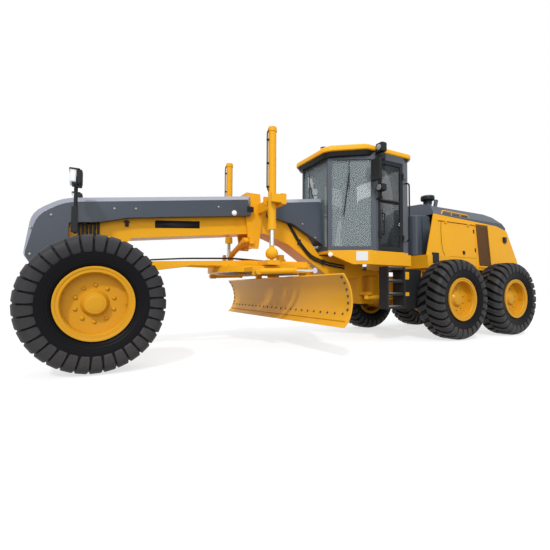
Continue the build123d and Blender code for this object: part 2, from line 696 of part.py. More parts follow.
# ---------------------------------------------------------------- front axle

BEAM_DEPTH = 110.0  # half of the beam's fore-and-aft depth
CHEEK_R = 50.0
with BuildPart() as front_axle:
    front_slab(
        mirrored(((540.0, 500.0), (540.0, 670.0), (180.0, 840.0)))[:3]
        + ((-180.0, 840.0), (-540.0, 670.0), (-540.0, 500.0), (-150.0, 600.0), (150.0, 600.0)),
        FRONT_AXLE_X - BEAM_DEPTH,
        FRONT_AXLE_X + BEAM_DEPTH,
    )
    bar((FRONT_AXLE_X - 125, 0, AXLE_PIVOT_Z), (FRONT_AXLE_X + 125, 0, AXLE_PIVOT_Z), 95)
    bar(
        (FRONT_AXLE_X - 130, 0, AXLE_PIVOT_Z), (FRONT_AXLE_X + 130, 0, AXLE_PIVOT_Z),
        AXLE_PIVOT_R + RUN, Mode.SUBTRACT,
    )
    for side in (1, -1):
        for cheek_x in (FRONT_AXLE_X - BEAM_DEPTH, FRONT_AXLE_X + BEAM_DEPTH - 40):
            low_y, high_y = sorted((side * 500, side * LEAN_Y))
            block(cheek_x, cheek_x + 40, low_y, high_y, LEAN_Z - CHEEK_R, LEAN_Z + CHEEK_R)
            bar((cheek_x, side * LEAN_Y, LEAN_Z), (cheek_x + 40, side * LEAN_Y, LEAN_Z), CHEEK_R)
        bar(
            (FRONT_AXLE_X - BEAM_DEPTH, side * LEAN_Y, LEAN_Z),
            (FRONT_AXLE_X + BEAM_DEPTH, side * LEAN_Y, LEAN_Z),
            30,
        )
    # pins of the lean cylinder, ahead of the beam, and of the steering cylinder, behind it
    bar((FRONT_AXLE_X + 100, 210, 740), (FRONT_AXLE_X + 175, 210, 740), 18)
    block(FRONT_AXLE_X - 250, FRONT_AXLE_X - 100, 150, 250, STEER_CYL_Z + 32, STEER_CYL_Z + 62)
    bar(
        (FRONT_AXLE_X - STEER_ARM, 200, STEER_CYL_Z - 32),
        (FRONT_AXLE_X - STEER_ARM, 200, STEER_CYL_Z + 40), 16
    )
finish(front_axle.part, "front_axle")

for side_name, side in SIDES:
    with BuildPart() as lean_bracket:
        x_low, x_high = FRONT_AXLE_X - 62, FRONT_AXLE_X + 62
        front_slab(
            tuple((side * y, z) for y, z in (
                (LEAN_Y - 45, LEAN_Z - 50),
                (LEAN_Y + 45, LEAN_Z - 50),
                (LEAN_Y + 54, AXLE_Z - 108),
                (KINGPIN_Y - 10, AXLE_Z - 108),
                (KINGPIN_Y - 10, AXLE_Z + 90),
                (LEAN_Y + 54, AXLE_Z + 105),
                (LEAN_Y + 40, LEAN_BAR_Z + 40),
                (LEAN_Y - 50, LEAN_BAR_Z + 40),
                (LEAN_Y - 50, LEAN_BAR_Z - 60),
                (LEAN_Y - 40, LEAN_Z + 60),
            )),
            x_low,
            x_high,
        )
        bar(
            (FRONT_AXLE_X, side * KINGPIN_Y, AXLE_Z - 110), (FRONT_AXLE_X, side * KINGPIN_Y, AXLE_Z + 110), 55
        )
        bar(
            (FRONT_AXLE_X, side * KINGPIN_Y, AXLE_Z - 120), (FRONT_AXLE_X, side * KINGPIN_Y, AXLE_Z + 120),
            25 + RUN, Mode.SUBTRACT,
        )
        bar((x_low - 5, side * LEAN_Y, LEAN_Z), (x_high + 5, side * LEAN_Y, LEAN_Z), 30 + RUN, Mode.SUBTRACT)
        # slot for the lean bar, with its pin
        low_y, high_y = sorted((side * (LEAN_Y - 80), side * (LEAN_Y + 70)))
        block(
            FRONT_AXLE_X - 32, FRONT_AXLE_X + 32,
            low_y, high_y, LEAN_BAR_Z - 50, LEAN_BAR_Z + 60, Mode.SUBTRACT
        )
        bar((x_low, side * LEAN_Y, LEAN_BAR_Z), (x_high, side * LEAN_Y, LEAN_BAR_Z), 16)
        if side > 0:
            bar((x_high - 5, LEAN_Y, LEAN_CYL_Z), (FRONT_AXLE_X + 124, LEAN_Y, LEAN_CYL_Z), 26)
    finish(lean_bracket.part, f"lean_bracket_{side_name}")

with BuildPart() as lean_bar:
    bar((FRONT_AXLE_X, -LEAN_Y + 25, LEAN_BAR_Z), (FRONT_AXLE_X, LEAN_Y - 25, LEAN_BAR_Z), 22)
    for side in (1, -1):
        eye_y = side * LEAN_Y
        bar((FRONT_AXLE_X - 28, eye_y, LEAN_BAR_Z), (FRONT_AXLE_X + 28, eye_y, LEAN_BAR_Z), 36)
        bar(
            (FRONT_AXLE_X - 30, eye_y, LEAN_BAR_Z), (FRONT_AXLE_X + 30, eye_y, LEAN_BAR_Z),
            16 + RUN, Mode.SUBTRACT,
        )
finish(lean_bar.part, "lean_bar")

LEAN_CYL_X = FRONT_AXLE_X + 150
lean_pivot = (LEAN_CYL_X, 210, 740)
lean_eye = (LEAN_CYL_X, LEAN_Y, LEAN_CYL_Z)
with BuildPart() as lean_barrel:
    cylinder_barrel(lean_pivot, lean_eye, 270, 34, 20, 18, (0.7, 0, 0))
finish(lean_barrel.part, "lean_barrel")
with BuildPart() as lean_rod:
    cylinder_rod(lean_pivot, lean_eye, 135, 20, 18, (1, 0, 0))
finish(lean_rod.part, "lean_rod")

for side_name, side in SIDES:
    with BuildPart() as knuckle:
        kingpin_y = side * KINGPIN_Y
        low_y, high_y = sorted((kingpin_y, side * (KINGPIN_Y + 130)))
        for ear_low, ear_top in ((ARM_LOW_Z, AXLE_Z - 118), (AXLE_Z + 118, AXLE_Z + 160)):
            bar((FRONT_AXLE_X, kingpin_y, ear_low), (FRONT_AXLE_X, kingpin_y, ear_top), 58)
            block(FRONT_AXLE_X - 58, FRONT_AXLE_X + 58, low_y, high_y, ear_low, ear_top)
        bar((FRONT_AXLE_X, kingpin_y, AXLE_Z - 160), (FRONT_AXLE_X, kingpin_y, AXLE_Z + 160), 25)
        low_y, high_y = sorted((side * (KINGPIN_Y + 75), side * (KINGPIN_Y + 130)))
        block(FRONT_AXLE_X - 70, FRONT_AXLE_X + 70, low_y, high_y, ARM_LOW_Z, AXLE_Z + 160)
        bar(
            (FRONT_AXLE_X, side * (KINGPIN_Y + 120), AXLE_Z),
            (FRONT_AXLE_X, side * (TREAD / 2 + SPINDLE_END), AXLE_Z),
            SPINDLE_R,
        )
        # steering arm to the rear, with the pin of the tie rod
        arm_x = FRONT_AXLE_X - STEER_ARM
        block(arm_x, FRONT_AXLE_X - 40, kingpin_y - 25, kingpin_y + 25, ARM_LOW_Z, ARM_LOW_Z + 40)
        bar((arm_x, kingpin_y, ARM_LOW_Z), (arm_x, kingpin_y, ARM_LOW_Z + 40), 34)
        bar((arm_x, kingpin_y, TIE_Z - 22), (arm_x, kingpin_y, ARM_LOW_Z + 5), 12)
        if side > 0:
            bar((arm_x, kingpin_y, ARM_LOW_Z), (arm_x, kingpin_y, STEER_CYL_Z - 74), 24)
    finish(knuckle.part, f"knuckle_{side_name}")

with BuildPart() as tie_rod_ball:
    with Locations((FRONT_AXLE_X - STEER_ARM, KINGPIN_Y, TIE_Z)):
        Sphere(24)
    bar(
        (FRONT_AXLE_X - STEER_ARM, KINGPIN_Y, TIE_Z - 30), (FRONT_AXLE_X - STEER_ARM, KINGPIN_Y, TIE_Z + 30),
        12 + RUN, Mode.SUBTRACT,
    )
finish(tie_rod_ball.part, "tie_rod_ball")

TIE_X = FRONT_AXLE_X - STEER_ARM
with BuildPart() as tie_rod:
    bar((TIE_X, -KINGPIN_Y + 30, TIE_Z), (TIE_X, KINGPIN_Y - 30, TIE_Z), 18)
    # the right eye is wider, because it drifts from its pin when the wheels lean
    for side, eye_r, bore_r in ((1, 40, 25), (-1, 44, 31)):
        bar((TIE_X, side * KINGPIN_Y, TIE_Z - 20), (TIE_X, side * KINGPIN_Y, TIE_Z + 20), eye_r)
        bar(
            (TIE_X, side * KINGPIN_Y, TIE_Z - 21),
            (TIE_X, side * KINGPIN_Y, TIE_Z + 21), bore_r, Mode.SUBTRACT
        )
finish(tie_rod.part, "tie_rod")

steer_pivot = (FRONT_AXLE_X - STEER_ARM, 200, STEER_CYL_Z)
steer_eye = (FRONT_AXLE_X - STEER_ARM, KINGPIN_Y, STEER_CYL_Z)
with BuildPart() as steering_barrel:
    cylinder_barrel(steer_pivot, steer_eye, 370, 32, 18, 16, (0, 0, 1))
finish(steering_barrel.part, "steering_barrel")
with BuildPart() as steering_rod:
    cylinder_rod(steer_pivot, steer_eye, 200, 18, 16, (0, 0, 1))
finish(steering_rod.part, "steering_rod")


# ---------------------------------------------------------------- drawbar, circle and blade

DRAWBAR_Z = CIRCLE_Z + CIRCLE_THICK + 8
SOCKET_R = 88.0
with BuildPart() as drawbar:
    # the two beams of the A, from the ball to the plate over the circle
    for side in (1, -1):
        front_point = (BALL_X - 60, side * 55)
        rear_point = (CIRCLE_X - 560, side * 470)
        across = 60 * side
        plan_slab(
            (
                front_point,
                (front_point[0], front_point[1] + across),
                (rear_point[0], rear_point[1] + across),
                (rear_point[0], rear_point[1]),
            ),
            1000,
            1500,
        )
    side_slab(
        (
            (BALL_X - 65, 1040),
            (BALL_X - 65, 1180),
            (CIRCLE_X + 300, 1235),
            (CIRCLE_X - 700, 1235),
            (CIRCLE_X - 700, DRAWBAR_Z),
            (CIRCLE_X + 1100, DRAWBAR_Z),
        ),
        -800,
        800,
        Mode.INTERSECT,
    )
    # plate over the circle, with the cylinders' arms
    plan_slab(
        (
            (CIRCLE_X + 620, -190),
            (CIRCLE_X + 620, 190),
            (LINKAGE_X + 90, 560),
            (LINKAGE_X + 90, LIFT_Y + 60),
            (LINKAGE_X - 90, LIFT_Y + 60),
            (LINKAGE_X - 150, 560),
            (CIRCLE_X - 620, 500),
            (CIRCLE_X - 620, -500),
            (LINKAGE_X - 150, -560),
            (LINKAGE_X - 90, -LIFT_Y - 60),
            (LINKAGE_X + 90, -LIFT_Y - 60),
            (LINKAGE_X + 90, -560),
        ),
        DRAWBAR_Z,
        DRAWBAR_Z + 62,
    )
    with BuildSketch(Plane.XY.offset(DRAWBAR_Z - 1)):
        with Locations((CIRCLE_X - 60, 0)):
            Circle(270)
    extrude(amount=100, mode=Mode.SUBTRACT)
    # socket round the ball, open to the front
    with Locations((BALL_X, 0, BALL_Z)):
        Sphere(SOCKET_R)
        Sphere(BALL_R + RUN, mode=Mode.SUBTRACT)
    block(BALL_X + 22, BALL_X + 100, -100, 100, BALL_Z - 100, BALL_Z + 100, Mode.SUBTRACT)
    for side in (1, -1):
        bar(
            (LINKAGE_X, side * LIFT_Y, DRAWBAR_Z + 50), (LINKAGE_X, side * LIFT_Y, LIFT_EYE_Z), 26
        )
        with Locations((LINKAGE_X, side * LIFT_Y, LIFT_EYE_Z)):
            Sphere(42)
    # ear of the centre shift cylinder, ahead of its eye, and the pads that run on the ring
    ear_x = SHIFT_X + SHIFT_EAR_AHEAD
    block(ear_x, ear_x + 30, SHIFT_EYE_Y - 45, SHIFT_EYE_Y + 45, DRAWBAR_Z + 40, SHIFT_EYE_Z + 45)
    for angle in (24, 135, 225, 336):
        middle = (CIRCLE_R + CIRCLE_BORE_R) / 2
        pad_x = CIRCLE_X + middle * cos(radians(angle))
        pad_y = middle * sin(radians(angle))
        bar((pad_x, pad_y, CIRCLE_Z + CIRCLE_THICK + SEAT), (pad_x, pad_y, DRAWBAR_Z + 20), 55)
finish(drawbar.part, "drawbar")

with BuildPart() as circle:
    with BuildSketch(Plane.XY.offset(CIRCLE_Z)):
        with Locations((CIRCLE_X, 0)):
            Circle(CIRCLE_R)
            Circle(CIRCLE_BORE_R, mode=Mode.SUBTRACT)
    extrude(amount=CIRCLE_THICK)
    for side in (1, -1):
        low_y, high_y = sorted((side * (ARM_Y - ARM_THICK / 2), side * (ARM_Y + ARM_THICK / 2)))
        side_slab(
            (
                (CIRCLE_X - 420, CIRCLE_Z + 20),
                (CIRCLE_X - 430, CIRCLE_Z - 20),
                (CIRCLE_X - 560, 900),
                (CIRCLE_X - 560, TIP_Z + 120),
                (TIP_X + 20, TIP_Z + 50),
                (TIP_X + 30, TIP_Z - 50),
                (TIP_X - 60, TIP_Z - 50),
                (CIRCLE_X - 660, 690),
                (CIRCLE_X - 640, CIRCLE_Z + 20),
            ),
            low_y,
            high_y,
        )
        # ear of the tip cylinder at the front
        low_y, high_y = sorted((side * 580, side * (TIP_CYL_Y - 45)))
        block(TIP_CYL_X - 50, TIP_CYL_X + 50, low_y, high_y, CIRCLE_Z, CIRCLE_Z + 50)
        low_y, high_y = sorted((side * (TIP_CYL_Y - 75), side * (TIP_CYL_Y - 45)))
        block(TIP_CYL_X - 50, TIP_CYL_X + 50, low_y, high_y, TIP_CYL_Z - 45, CIRCLE_Z + 50)
        bar(
            (TIP_CYL_X, side * (TIP_CYL_Y - 60), TIP_CYL_Z),
            (TIP_CYL_X, side * (TIP_CYL_Y + 34), TIP_CYL_Z), 20
        )
    # shaft of the tip hinge, with a thinner journal at each end
    bar((TIP_X, -BRACKET_Y - 35, TIP_Z), (TIP_X, BRACKET_Y + 35, TIP_Z), 30)
    bar((TIP_X, -BRACKET_Y + 33, TIP_Z), (TIP_X, BRACKET_Y - 33, TIP_Z), 44)
finish(circle.part, "circle")

with BuildPart() as blade_bracket:
    for side in (1, -1):
        low_y = side * BRACKET_Y - BRACKET_THICK / 2
        high_y = side * BRACKET_Y + BRACKET_THICK / 2
        side_slab(
            (
                (TIP_X - 55, TIP_Z - 55),
                (TIP_X + 55, TIP_Z - 55),
                (RAIL_FRONT_X, RAIL_LOW_Z - 10),
                (RAIL_FRONT_X, RAIL_LOW_Z - RUN),
                (RAIL_REAR_X - RUN, RAIL_LOW_Z - RUN),
                (RAIL_REAR_X - RUN, RAIL_LOW_Z + RAIL_THICK + RUN),
                (RAIL_FRONT_X, RAIL_LOW_Z + RAIL_THICK + RUN),
                (RAIL_FRONT_X, RAIL_HIGH_Z - RUN),
                (RAIL_REAR_X - RUN, RAIL_HIGH_Z - RUN),
                (RAIL_REAR_X - RUN, RAIL_HIGH_Z + RAIL_THICK + RUN),
                (RAIL_FRONT_X, RAIL_HIGH_Z + RAIL_THICK + RUN),
                (RAIL_FRONT_X, RAIL_HIGH_Z + 90),
                (TIP_EYE_X + 45, TIP_EYE_Z),
                (TIP_EYE_X + 20, TIP_EYE_Z + 42),
                (TIP_EYE_X - 20, TIP_EYE_Z + 42),
                (TIP_EYE_X - 45, TIP_EYE_Z),
                (TIP_X - 75, 750),
            ),
            low_y,
            high_y,
        )
        bar((TIP_X, low_y - 1, TIP_Z), (TIP_X, high_y + 1, TIP_Z), 30 + RUN, Mode.SUBTRACT)
        # boss beside the tip cylinder's eye
        bar((TIP_EYE_X, side * BRACKET_Y, TIP_EYE_Z), (TIP_EYE_X, side * (TIP_CYL_Y - 26), TIP_EYE_Z), 28)
    # barrel of the side shift cylinder, carried by both plates
    bar((SLIDE_CYL_X, -BRACKET_Y - 50, SLIDE_CYL_Z), (SLIDE_CYL_X, BRACKET_Y + 80, SLIDE_CYL_Z), 38)
    bar(
        (SLIDE_CYL_X, -BRACKET_Y, SLIDE_CYL_Z), (SLIDE_CYL_X, BRACKET_Y + 90, SLIDE_CYL_Z),
        22 + RUN, Mode.SUBTRACT,
    )
finish(blade_bracket.part, "blade_bracket")


def blade_point(radius, angle):
    """A point of the moldboard's section, as (X, Z); the angle is upwards from the rear."""
    return (BLADE_FACE_X - radius * cos(radians(angle)), BLADE_FACE_Z + radius * sin(radians(angle)))


with BuildPart() as moldboard:
    back_r = BLADE_R + BLADE_PLATE
    face_low = blade_point(BLADE_R, -BLADE_LOW_ANGLE)
    back_low = blade_point(back_r, -BLADE_LOW_ANGLE)
    drop = face_low[1] - BLADE_LOW_Z
    lead = drop * cos(radians(50)) / sin(radians(50))
    with BuildSketch(Plane.XZ.offset(-BLADE_LENGTH / 2)):
        with BuildLine():
            ThreePointArc(blade_point(BLADE_R, BLADE_TOP_ANGLE), blade_point(BLADE_R, 5), face_low)
            Line(face_low, (face_low[0] + lead + 12, BLADE_LOW_Z))
            Line((face_low[0] + lead + 12, BLADE_LOW_Z), (face_low[0] + lead - 16, BLADE_LOW_Z))
            Line((face_low[0] + lead - 16, BLADE_LOW_Z), back_low)
            ThreePointArc(back_low, blade_point(back_r, 5), blade_point(back_r, BLADE_TOP_ANGLE))
            Line(blade_point(back_r, BLADE_TOP_ANGLE), blade_point(BLADE_R, BLADE_TOP_ANGLE))
        make_face()
    extrude(amount=BLADE_LENGTH)
    for rail_z in (RAIL_LOW_Z, RAIL_HIGH_Z):
        block(RAIL_REAR_X, BLADE_FACE_X - BLADE_R - 5, -RAIL_HALF, RAIL_HALF, rail_z, rail_z + RAIL_THICK)
    # side shift rod and its lug
    lug_y = BRACKET_Y + 720
    block(SLIDE_CYL_X - 35, BLADE_FACE_X - BLADE_R - 5, lug_y, lug_y + 50, SLIDE_CYL_Z - 35, SLIDE_CYL_Z + 35)
    bar((SLIDE_CYL_X, -230, SLIDE_CYL_Z), (SLIDE_CYL_X, lug_y + 10, SLIDE_CYL_Z), 22)
finish(moldboard.part, "moldboard")

TIP_AXIS = (0, 1, 0)
for piece_name, make_piece in (("tip_barrels", cylinder_barrel), ("tip_rods", cylinder_rod)):
    with BuildPart() as piece:
        for side in (1, -1):
            pivot = (TIP_CYL_X, side * TIP_CYL_Y, TIP_CYL_Z)
            eye = (TIP_EYE_X, side * TIP_CYL_Y, TIP_EYE_Z)
            if make_piece is cylinder_barrel:
                cylinder_barrel(pivot, eye, 560, 38, 20, 20, TIP_AXIS)
            else:
                cylinder_rod(pivot, eye, 270, 20, 20, TIP_AXIS)
    finish(piece.part, piece_name)

with BuildPart() as lift_barrels:
    for side in (1, -1):
        y = side * LIFT_Y
        bar((LINKAGE_X, y, LIFT_TUBE_LOW_Z), (LINKAGE_X, y, LIFT_TUBE_TOP_Z), LIFT_TUBE_R)
        bar((LINKAGE_X, y, LIFT_TUBE_LOW_Z), (LINKAGE_X, y, LIFT_TUBE_LOW_Z + 90), LIFT_TUBE_R + 8)
        bar((LINKAGE_X, y - 88, LIFT_PIVOT_Z), (LINKAGE_X, y + 88, LIFT_PIVOT_Z), 40)
        for cheek in (-1, 1):
            bar(
                (LINKAGE_X, y + cheek * 90, LIFT_PIVOT_Z), (LINKAGE_X, y + cheek * 57, LIFT_PIVOT_Z),
                22 + RUN, Mode.SUBTRACT,
            )
        bar(
            (LINKAGE_X, y, LIFT_TUBE_LOW_Z - 1), (LINKAGE_X, y, LIFT_TUBE_TOP_Z - 60),
            LIFT_ROD_R + RUN, Mode.SUBTRACT,
        )
finish(lift_barrels.part, "lift_barrels")

BELL_R = 84.0
BELL_BORE_R = 72.0
with BuildPart() as lift_rods:
    for side in (1, -1):
        y = side * LIFT_Y
        bar((LINKAGE_X, y, LIFT_EYE_Z + BELL_R - 8), (LINKAGE_X, y, LIFT_TUBE_TOP_Z - 260), LIFT_ROD_R)
        with Locations((LINKAGE_X, y, LIFT_EYE_Z)):
            Sphere(BELL_R)
            Sphere(BELL_BORE_R, mode=Mode.SUBTRACT)
        block(
            LINKAGE_X - 100, LINKAGE_X + 100, y - 100, y + 100, LIFT_EYE_Z - 100, LIFT_EYE_Z - 20,
            Mode.SUBTRACT,
        )
finish(lift_rods.part, "lift_rods")

shift_pivot = (SHIFT_X, SHIFT_PIVOT_Y, SHIFT_PIVOT_Z)
shift_eye = (SHIFT_X, SHIFT_EYE_Y, SHIFT_EYE_Z)
with BuildPart() as shift_barrel:
    cylinder_barrel(shift_pivot, shift_eye, 560, 42, 24, 22, (1, 0, 0))
finish(shift_barrel.part, "shift_barrel")
with BuildPart() as shift_rod:
    cylinder_rod(shift_pivot, shift_eye, 112, 24, 22, (1, 0, 0))
finish(shift_rod.part, "shift_rod")

for side_name, side in SIDES:
    pivot = (ARTIC_FRONT_X, side * ARTIC_FRONT_Y, ARTIC_Z)
    eye = (ARTIC_REAR_X, side * ARTIC_REAR_Y, ARTIC_Z)
    with BuildPart() as articulation_barrel:
        cylinder_barrel(pivot, eye, 620, 38, 22, 24, (0, 0, 0.95))
    finish(articulation_barrel.part, f"articulation_barrel_{side_name}")
    with BuildPart() as articulation_rod:
        cylinder_rod(pivot, eye, 250, 22, 24, (0, 0, 1))
    finish(articulation_rod.part, f"articulation_rod_{side_name}")


# ---------------------------------------------------------------- rear frame, tandems and hood


def ahead(distance):
    """A station ahead of the tandems' pivot."""
    return TANDEM_X + distance


BEAM_LOW_Z = 815.0
BEAM_TOP_Z = 1010.0
TONGUE_GAP = 6.0
TANDEM_IN = 605.0
TANDEM_OUT = 800.0
with BuildPart() as rear_frame:
    for side in (1, -1):
        low_y, high_y = sorted((side * (FRAME_BEAM_Y - 50), side * (FRAME_BEAM_Y + 50)))
        block(REAR_X + 200, HITCH_X - 450, low_y, high_y, BEAM_LOW_Z, BEAM_TOP_Z)
        # ear of the articulation cylinder
        low_y, high_y = sorted((side * 380, side * 500))
        block(HITCH_X - 625, HITCH_X - 515, low_y, high_y, ARTIC_Z + 22 + 5, BEAM_LOW_Z + 10)
        bar((TANDEM_X, 0, AXLE_Z), (TANDEM_X, side * 740, AXLE_Z), 80)
        # seats of the hood
        for seat_x in (-1500, -400, 900):
            low_y, high_y = sorted((side * 350, side * (TANDEM_IN - 15)))
            block(ahead(seat_x) - 40, ahead(seat_x) + 40, low_y, high_y, BEAM_TOP_Z - 10, HOOD_LOW_Z - SEAT)
            low_y, high_y = sorted((side * 350, side * (HOOD_HALF - 30)))
            block(ahead(seat_x) - 40, ahead(seat_x) + 40, low_y, high_y, HOOD_LOW_Z - 65, HOOD_LOW_Z - SEAT)
        # arm that carries the steps and the box ahead of the tandem
        low_y, high_y = sorted((side * 440, side * 760))
        block(ahead(1060), ahead(1160), low_y, high_y, 860, 960)
        low_y, high_y = sorted((side * 660, side * 760))
        block(ahead(1060), BOX_REAR_X - SEAT, low_y, high_y, 860, 960)
    bar((TANDEM_X, -592, AXLE_Z), (TANDEM_X, 592, AXLE_Z), 160)
    for cross_x in (HITCH_X - 560, ahead(300), ahead(-900)):
        block(cross_x, cross_x + 110, -360, 360, BEAM_LOW_Z, BEAM_TOP_Z)
    # hitch tongue between the front frame's lugs
    tongue_low_z = HITCH_LOW_Z + HITCH_LUG + TONGUE_GAP
    tongue_top_z = HITCH_TOP_Z - HITCH_LUG - TONGUE_GAP
    plan_slab(
        (
            (HITCH_X, -130), (HITCH_X, 130), (HITCH_X - 300, 200), (HITCH_X - 460, 200),
            (HITCH_X - 460, -200), (HITCH_X - 300, -200),
        ),
        tongue_low_z,
        tongue_top_z,
    )
    plan_slab(
        (
            (HITCH_X - 280, 190), (HITCH_X - 460, 400), (HITCH_X - 460, -400), (HITCH_X - 280, -190),
        ),
        ARTIC_Z + 50,
        tongue_top_z,
    )
    bar((HITCH_X, 0, tongue_low_z), (HITCH_X, 0, tongue_top_z), 130)
    bar((HITCH_X, 0, HITCH_LOW_Z), (HITCH_X, 0, HITCH_TOP_Z), HITCH_PIN_R + RUN, Mode.SUBTRACT)
    # tail weight with the tow jaw
    block(REAR_X + 60, REAR_X + 420, -620, 620, 780, HOOD_LOW_Z - SEAT)
    for jaw_z in (880, 990):
        block(REAR_X, REAR_X + 70, -80, 80, jaw_z, jaw_z + 30)
    bar((REAR_X + 35, 0, 870), (REAR_X + 35, 0, 1030), TOW_HOLE_R, Mode.SUBTRACT)
finish(rear_frame.part, "rear_frame")

for side_name, side in SIDES:
    with BuildPart() as tandem:
        low_y, high_y = sorted((side * TANDEM_IN, side * TANDEM_OUT))
        half_pitch = TANDEM_PITCH / 2
        side_slab(
            (
                (TANDEM_X + half_pitch + 150, AXLE_Z - 200),
                (TANDEM_X + half_pitch + 240, AXLE_Z),
                (TANDEM_X + half_pitch + 150, AXLE_Z + 200),
                (TANDEM_X + 260, AXLE_Z + 250),
                (TANDEM_X - 260, AXLE_Z + 250),
                (TANDEM_X - half_pitch - 150, AXLE_Z + 200),
                (TANDEM_X - half_pitch - 240, AXLE_Z),
                (TANDEM_X - half_pitch - 150, AXLE_Z - 200),
            ),
            low_y,
            high_y,
        )
        bar(
            (TANDEM_X, side * (TANDEM_IN - 5), AXLE_Z), (TANDEM_X, side * 760, AXLE_Z), 80 + RUN,
            Mode.SUBTRACT,
        )
        for wheel_x in (MIDDLE_X, REAR_WHEEL_X):
            bar((wheel_x, side * TANDEM_OUT, AXLE_Z), (wheel_x, side * 1030, AXLE_Z), 105)
            bar(
                (wheel_x, side * 1020, AXLE_Z), (wheel_x, side * (TREAD / 2 + SPINDLE_END), AXLE_Z), SPINDLE_R
            )
    finish(tandem.part, f"tandem_{side_name}")

# the hood's rear wall stands upright, then leans forward from the bend to the crest
HOOD_REAR_X = ahead(-1780)
HOOD_BEND_Z = 1420.0
HOOD_CREST_X = ahead(-1500)
HOOD_CREST_Z = HOOD_TOP_Z - 150
REAR_LEAN = (HOOD_CREST_X - HOOD_REAR_X) / (HOOD_CREST_Z - HOOD_BEND_Z)
REAR_GRILLE_HALF = 560.0
REAR_GRILLE_LOW_Z = HOOD_BEND_Z + 60
REAR_GRILLE_TOP_Z = HOOD_CREST_Z - 65

# outline of the hood's yellow sides, from the side
hood_profile = (
    (ahead(980), HOOD_LOW_Z),
    (ahead(1010), 1450),
    (ahead(740), HOOD_TOP_Z),
    (ahead(-1150), HOOD_TOP_Z - 70),
    (HOOD_CREST_X, HOOD_CREST_Z),
    (HOOD_REAR_X, HOOD_BEND_Z),
    (HOOD_REAR_X, HOOD_LOW_Z),
)
DOOR_REAR_X = ahead(-400)
DOOR_FRONT_X = ahead(620)
SIDE_DOOR_LOW_Z = 1440.0
SIDE_DOOR_TOP_Z = 2110.0
GRILLE_REAR_X = ahead(-850)
GRILLE_FRONT_X = ahead(-450)
GRILLE_LOW_Z = 1300.0
GRILLE_TOP_Z = 2120.0
SIDE_LEAN = (HOOD_HALF - HOOD_TOP_HALF) / (HOOD_TOP_Z - HOOD_LOW_Z)  # the sides lean inwards


def hood_y(z):
    """Half width of the hood at a height."""
    return HOOD_HALF - SIDE_LEAN * (z - HOOD_LOW_Z)


def hood_panel(side, x_low, x_high, z_low, z_high, outside, inside, mode=Mode.ADD):
    """A panel that leans with the hood's side, between two depths below the side's outer face."""
    front_slab(
        (
            (side * (hood_y(z_low) - outside), z_low),
            (side * (hood_y(z_high) - outside), z_high),
            (side * (hood_y(z_high) - inside), z_high),
            (side * (hood_y(z_low) - inside), z_low),
        ),
        x_low,
        x_high,
        mode,
    )


def rear_panel(half, z_low, z_high, outside, inside, mode=Mode.ADD):
    """A panel that leans with the hood's rear, between two depths ahead of the rear's outer face."""
    low_x, high_x = (HOOD_REAR_X + REAR_LEAN * (z - HOOD_BEND_Z) for z in (z_low, z_high))
    side_slab(
        ((low_x + outside, z_low), (high_x + outside, z_high), (high_x + inside, z_high), (low_x + inside, z_low)),
        -half,
        half,
        mode,
    )


SIDE_HINGE_Z = SIDE_DOOR_TOP_Z - 8
SIDE_HINGE_Y = hood_y(SIDE_HINGE_Z) + 12
SIDE_PIN_R = 6.0
SIDE_KNUCKLES_X = (DOOR_REAR_X + 150, DOOR_FRONT_X - 210)
with BuildPart() as hood:
    section = tuple((side_y, z) for side_y, z in (
        (hood_y(HOOD_LOW_Z), HOOD_LOW_Z),
        (hood_y(HOOD_TOP_Z), HOOD_TOP_Z),
        (-hood_y(HOOD_TOP_Z), HOOD_TOP_Z),
        (-hood_y(HOOD_LOW_Z), HOOD_LOW_Z),
    ))
    front_slab(section, ahead(-1800), ahead(1100))
    side_slab(hood_profile, -900, 900, Mode.INTERSECT)
    inner = tuple((y * (1 - HOOD_WALL / HOOD_TOP_HALF), z) for y, z in (
        (hood_y(HOOD_LOW_Z), HOOD_LOW_Z - 1),
        (hood_y(HOOD_TOP_Z), HOOD_TOP_Z + 1),
        (-hood_y(HOOD_TOP_Z), HOOD_TOP_Z + 1),
        (-hood_y(HOOD_LOW_Z), HOOD_LOW_Z - 1),
    ))
    front_slab(inner, HOOD_REAR_X + 25, ahead(1100), Mode.SUBTRACT)
    rear_panel(HOOD_HALF, HOOD_BEND_Z, HOOD_CREST_Z, 0, HOOD_WALL)
    front_slab(section, ahead(-1800), ahead(1100), Mode.INTERSECT)
    # floor under the tank, and a sill that ties the sides at the front
    block(ahead(400), ahead(1000), -HOOD_HALF + 5, HOOD_HALF - 5, HOOD_LOW_Z, 1450)
    block(ahead(430), ahead(980), -HOOD_HALF + 60, HOOD_HALF - 60, HOOD_LOW_Z - 1, 1435, Mode.SUBTRACT)
    for side in (1, -1):
        hood_panel(side, DOOR_REAR_X, DOOR_FRONT_X, SIDE_DOOR_LOW_Z, SIDE_DOOR_TOP_Z, -5, 80, Mode.SUBTRACT)
        hood_panel(side, GRILLE_REAR_X, GRILLE_FRONT_X, GRILLE_LOW_Z, GRILLE_TOP_Z, -5, 80, Mode.SUBTRACT)
        # hinge rod over the door, with a lug at each end
        hinge_y = side * SIDE_HINGE_Y
        bar((DOOR_REAR_X - 25, hinge_y, SIDE_HINGE_Z), (DOOR_FRONT_X + 25, hinge_y, SIDE_HINGE_Z), SIDE_PIN_R)
        low_y, high_y = sorted((side * (SIDE_HINGE_Y - 20), side * (SIDE_HINGE_Y + 10)))
        for lug_x in (DOOR_REAR_X - 30, DOOR_FRONT_X + 5):
            block(lug_x, lug_x + 25, low_y, high_y, SIDE_HINGE_Z - 10, SIDE_HINGE_Z + 10)
    # opening of the radiator at the rear
    rear_panel(REAR_GRILLE_HALF, REAR_GRILLE_LOW_Z, REAR_GRILLE_TOP_Z, -40, 60, Mode.SUBTRACT)
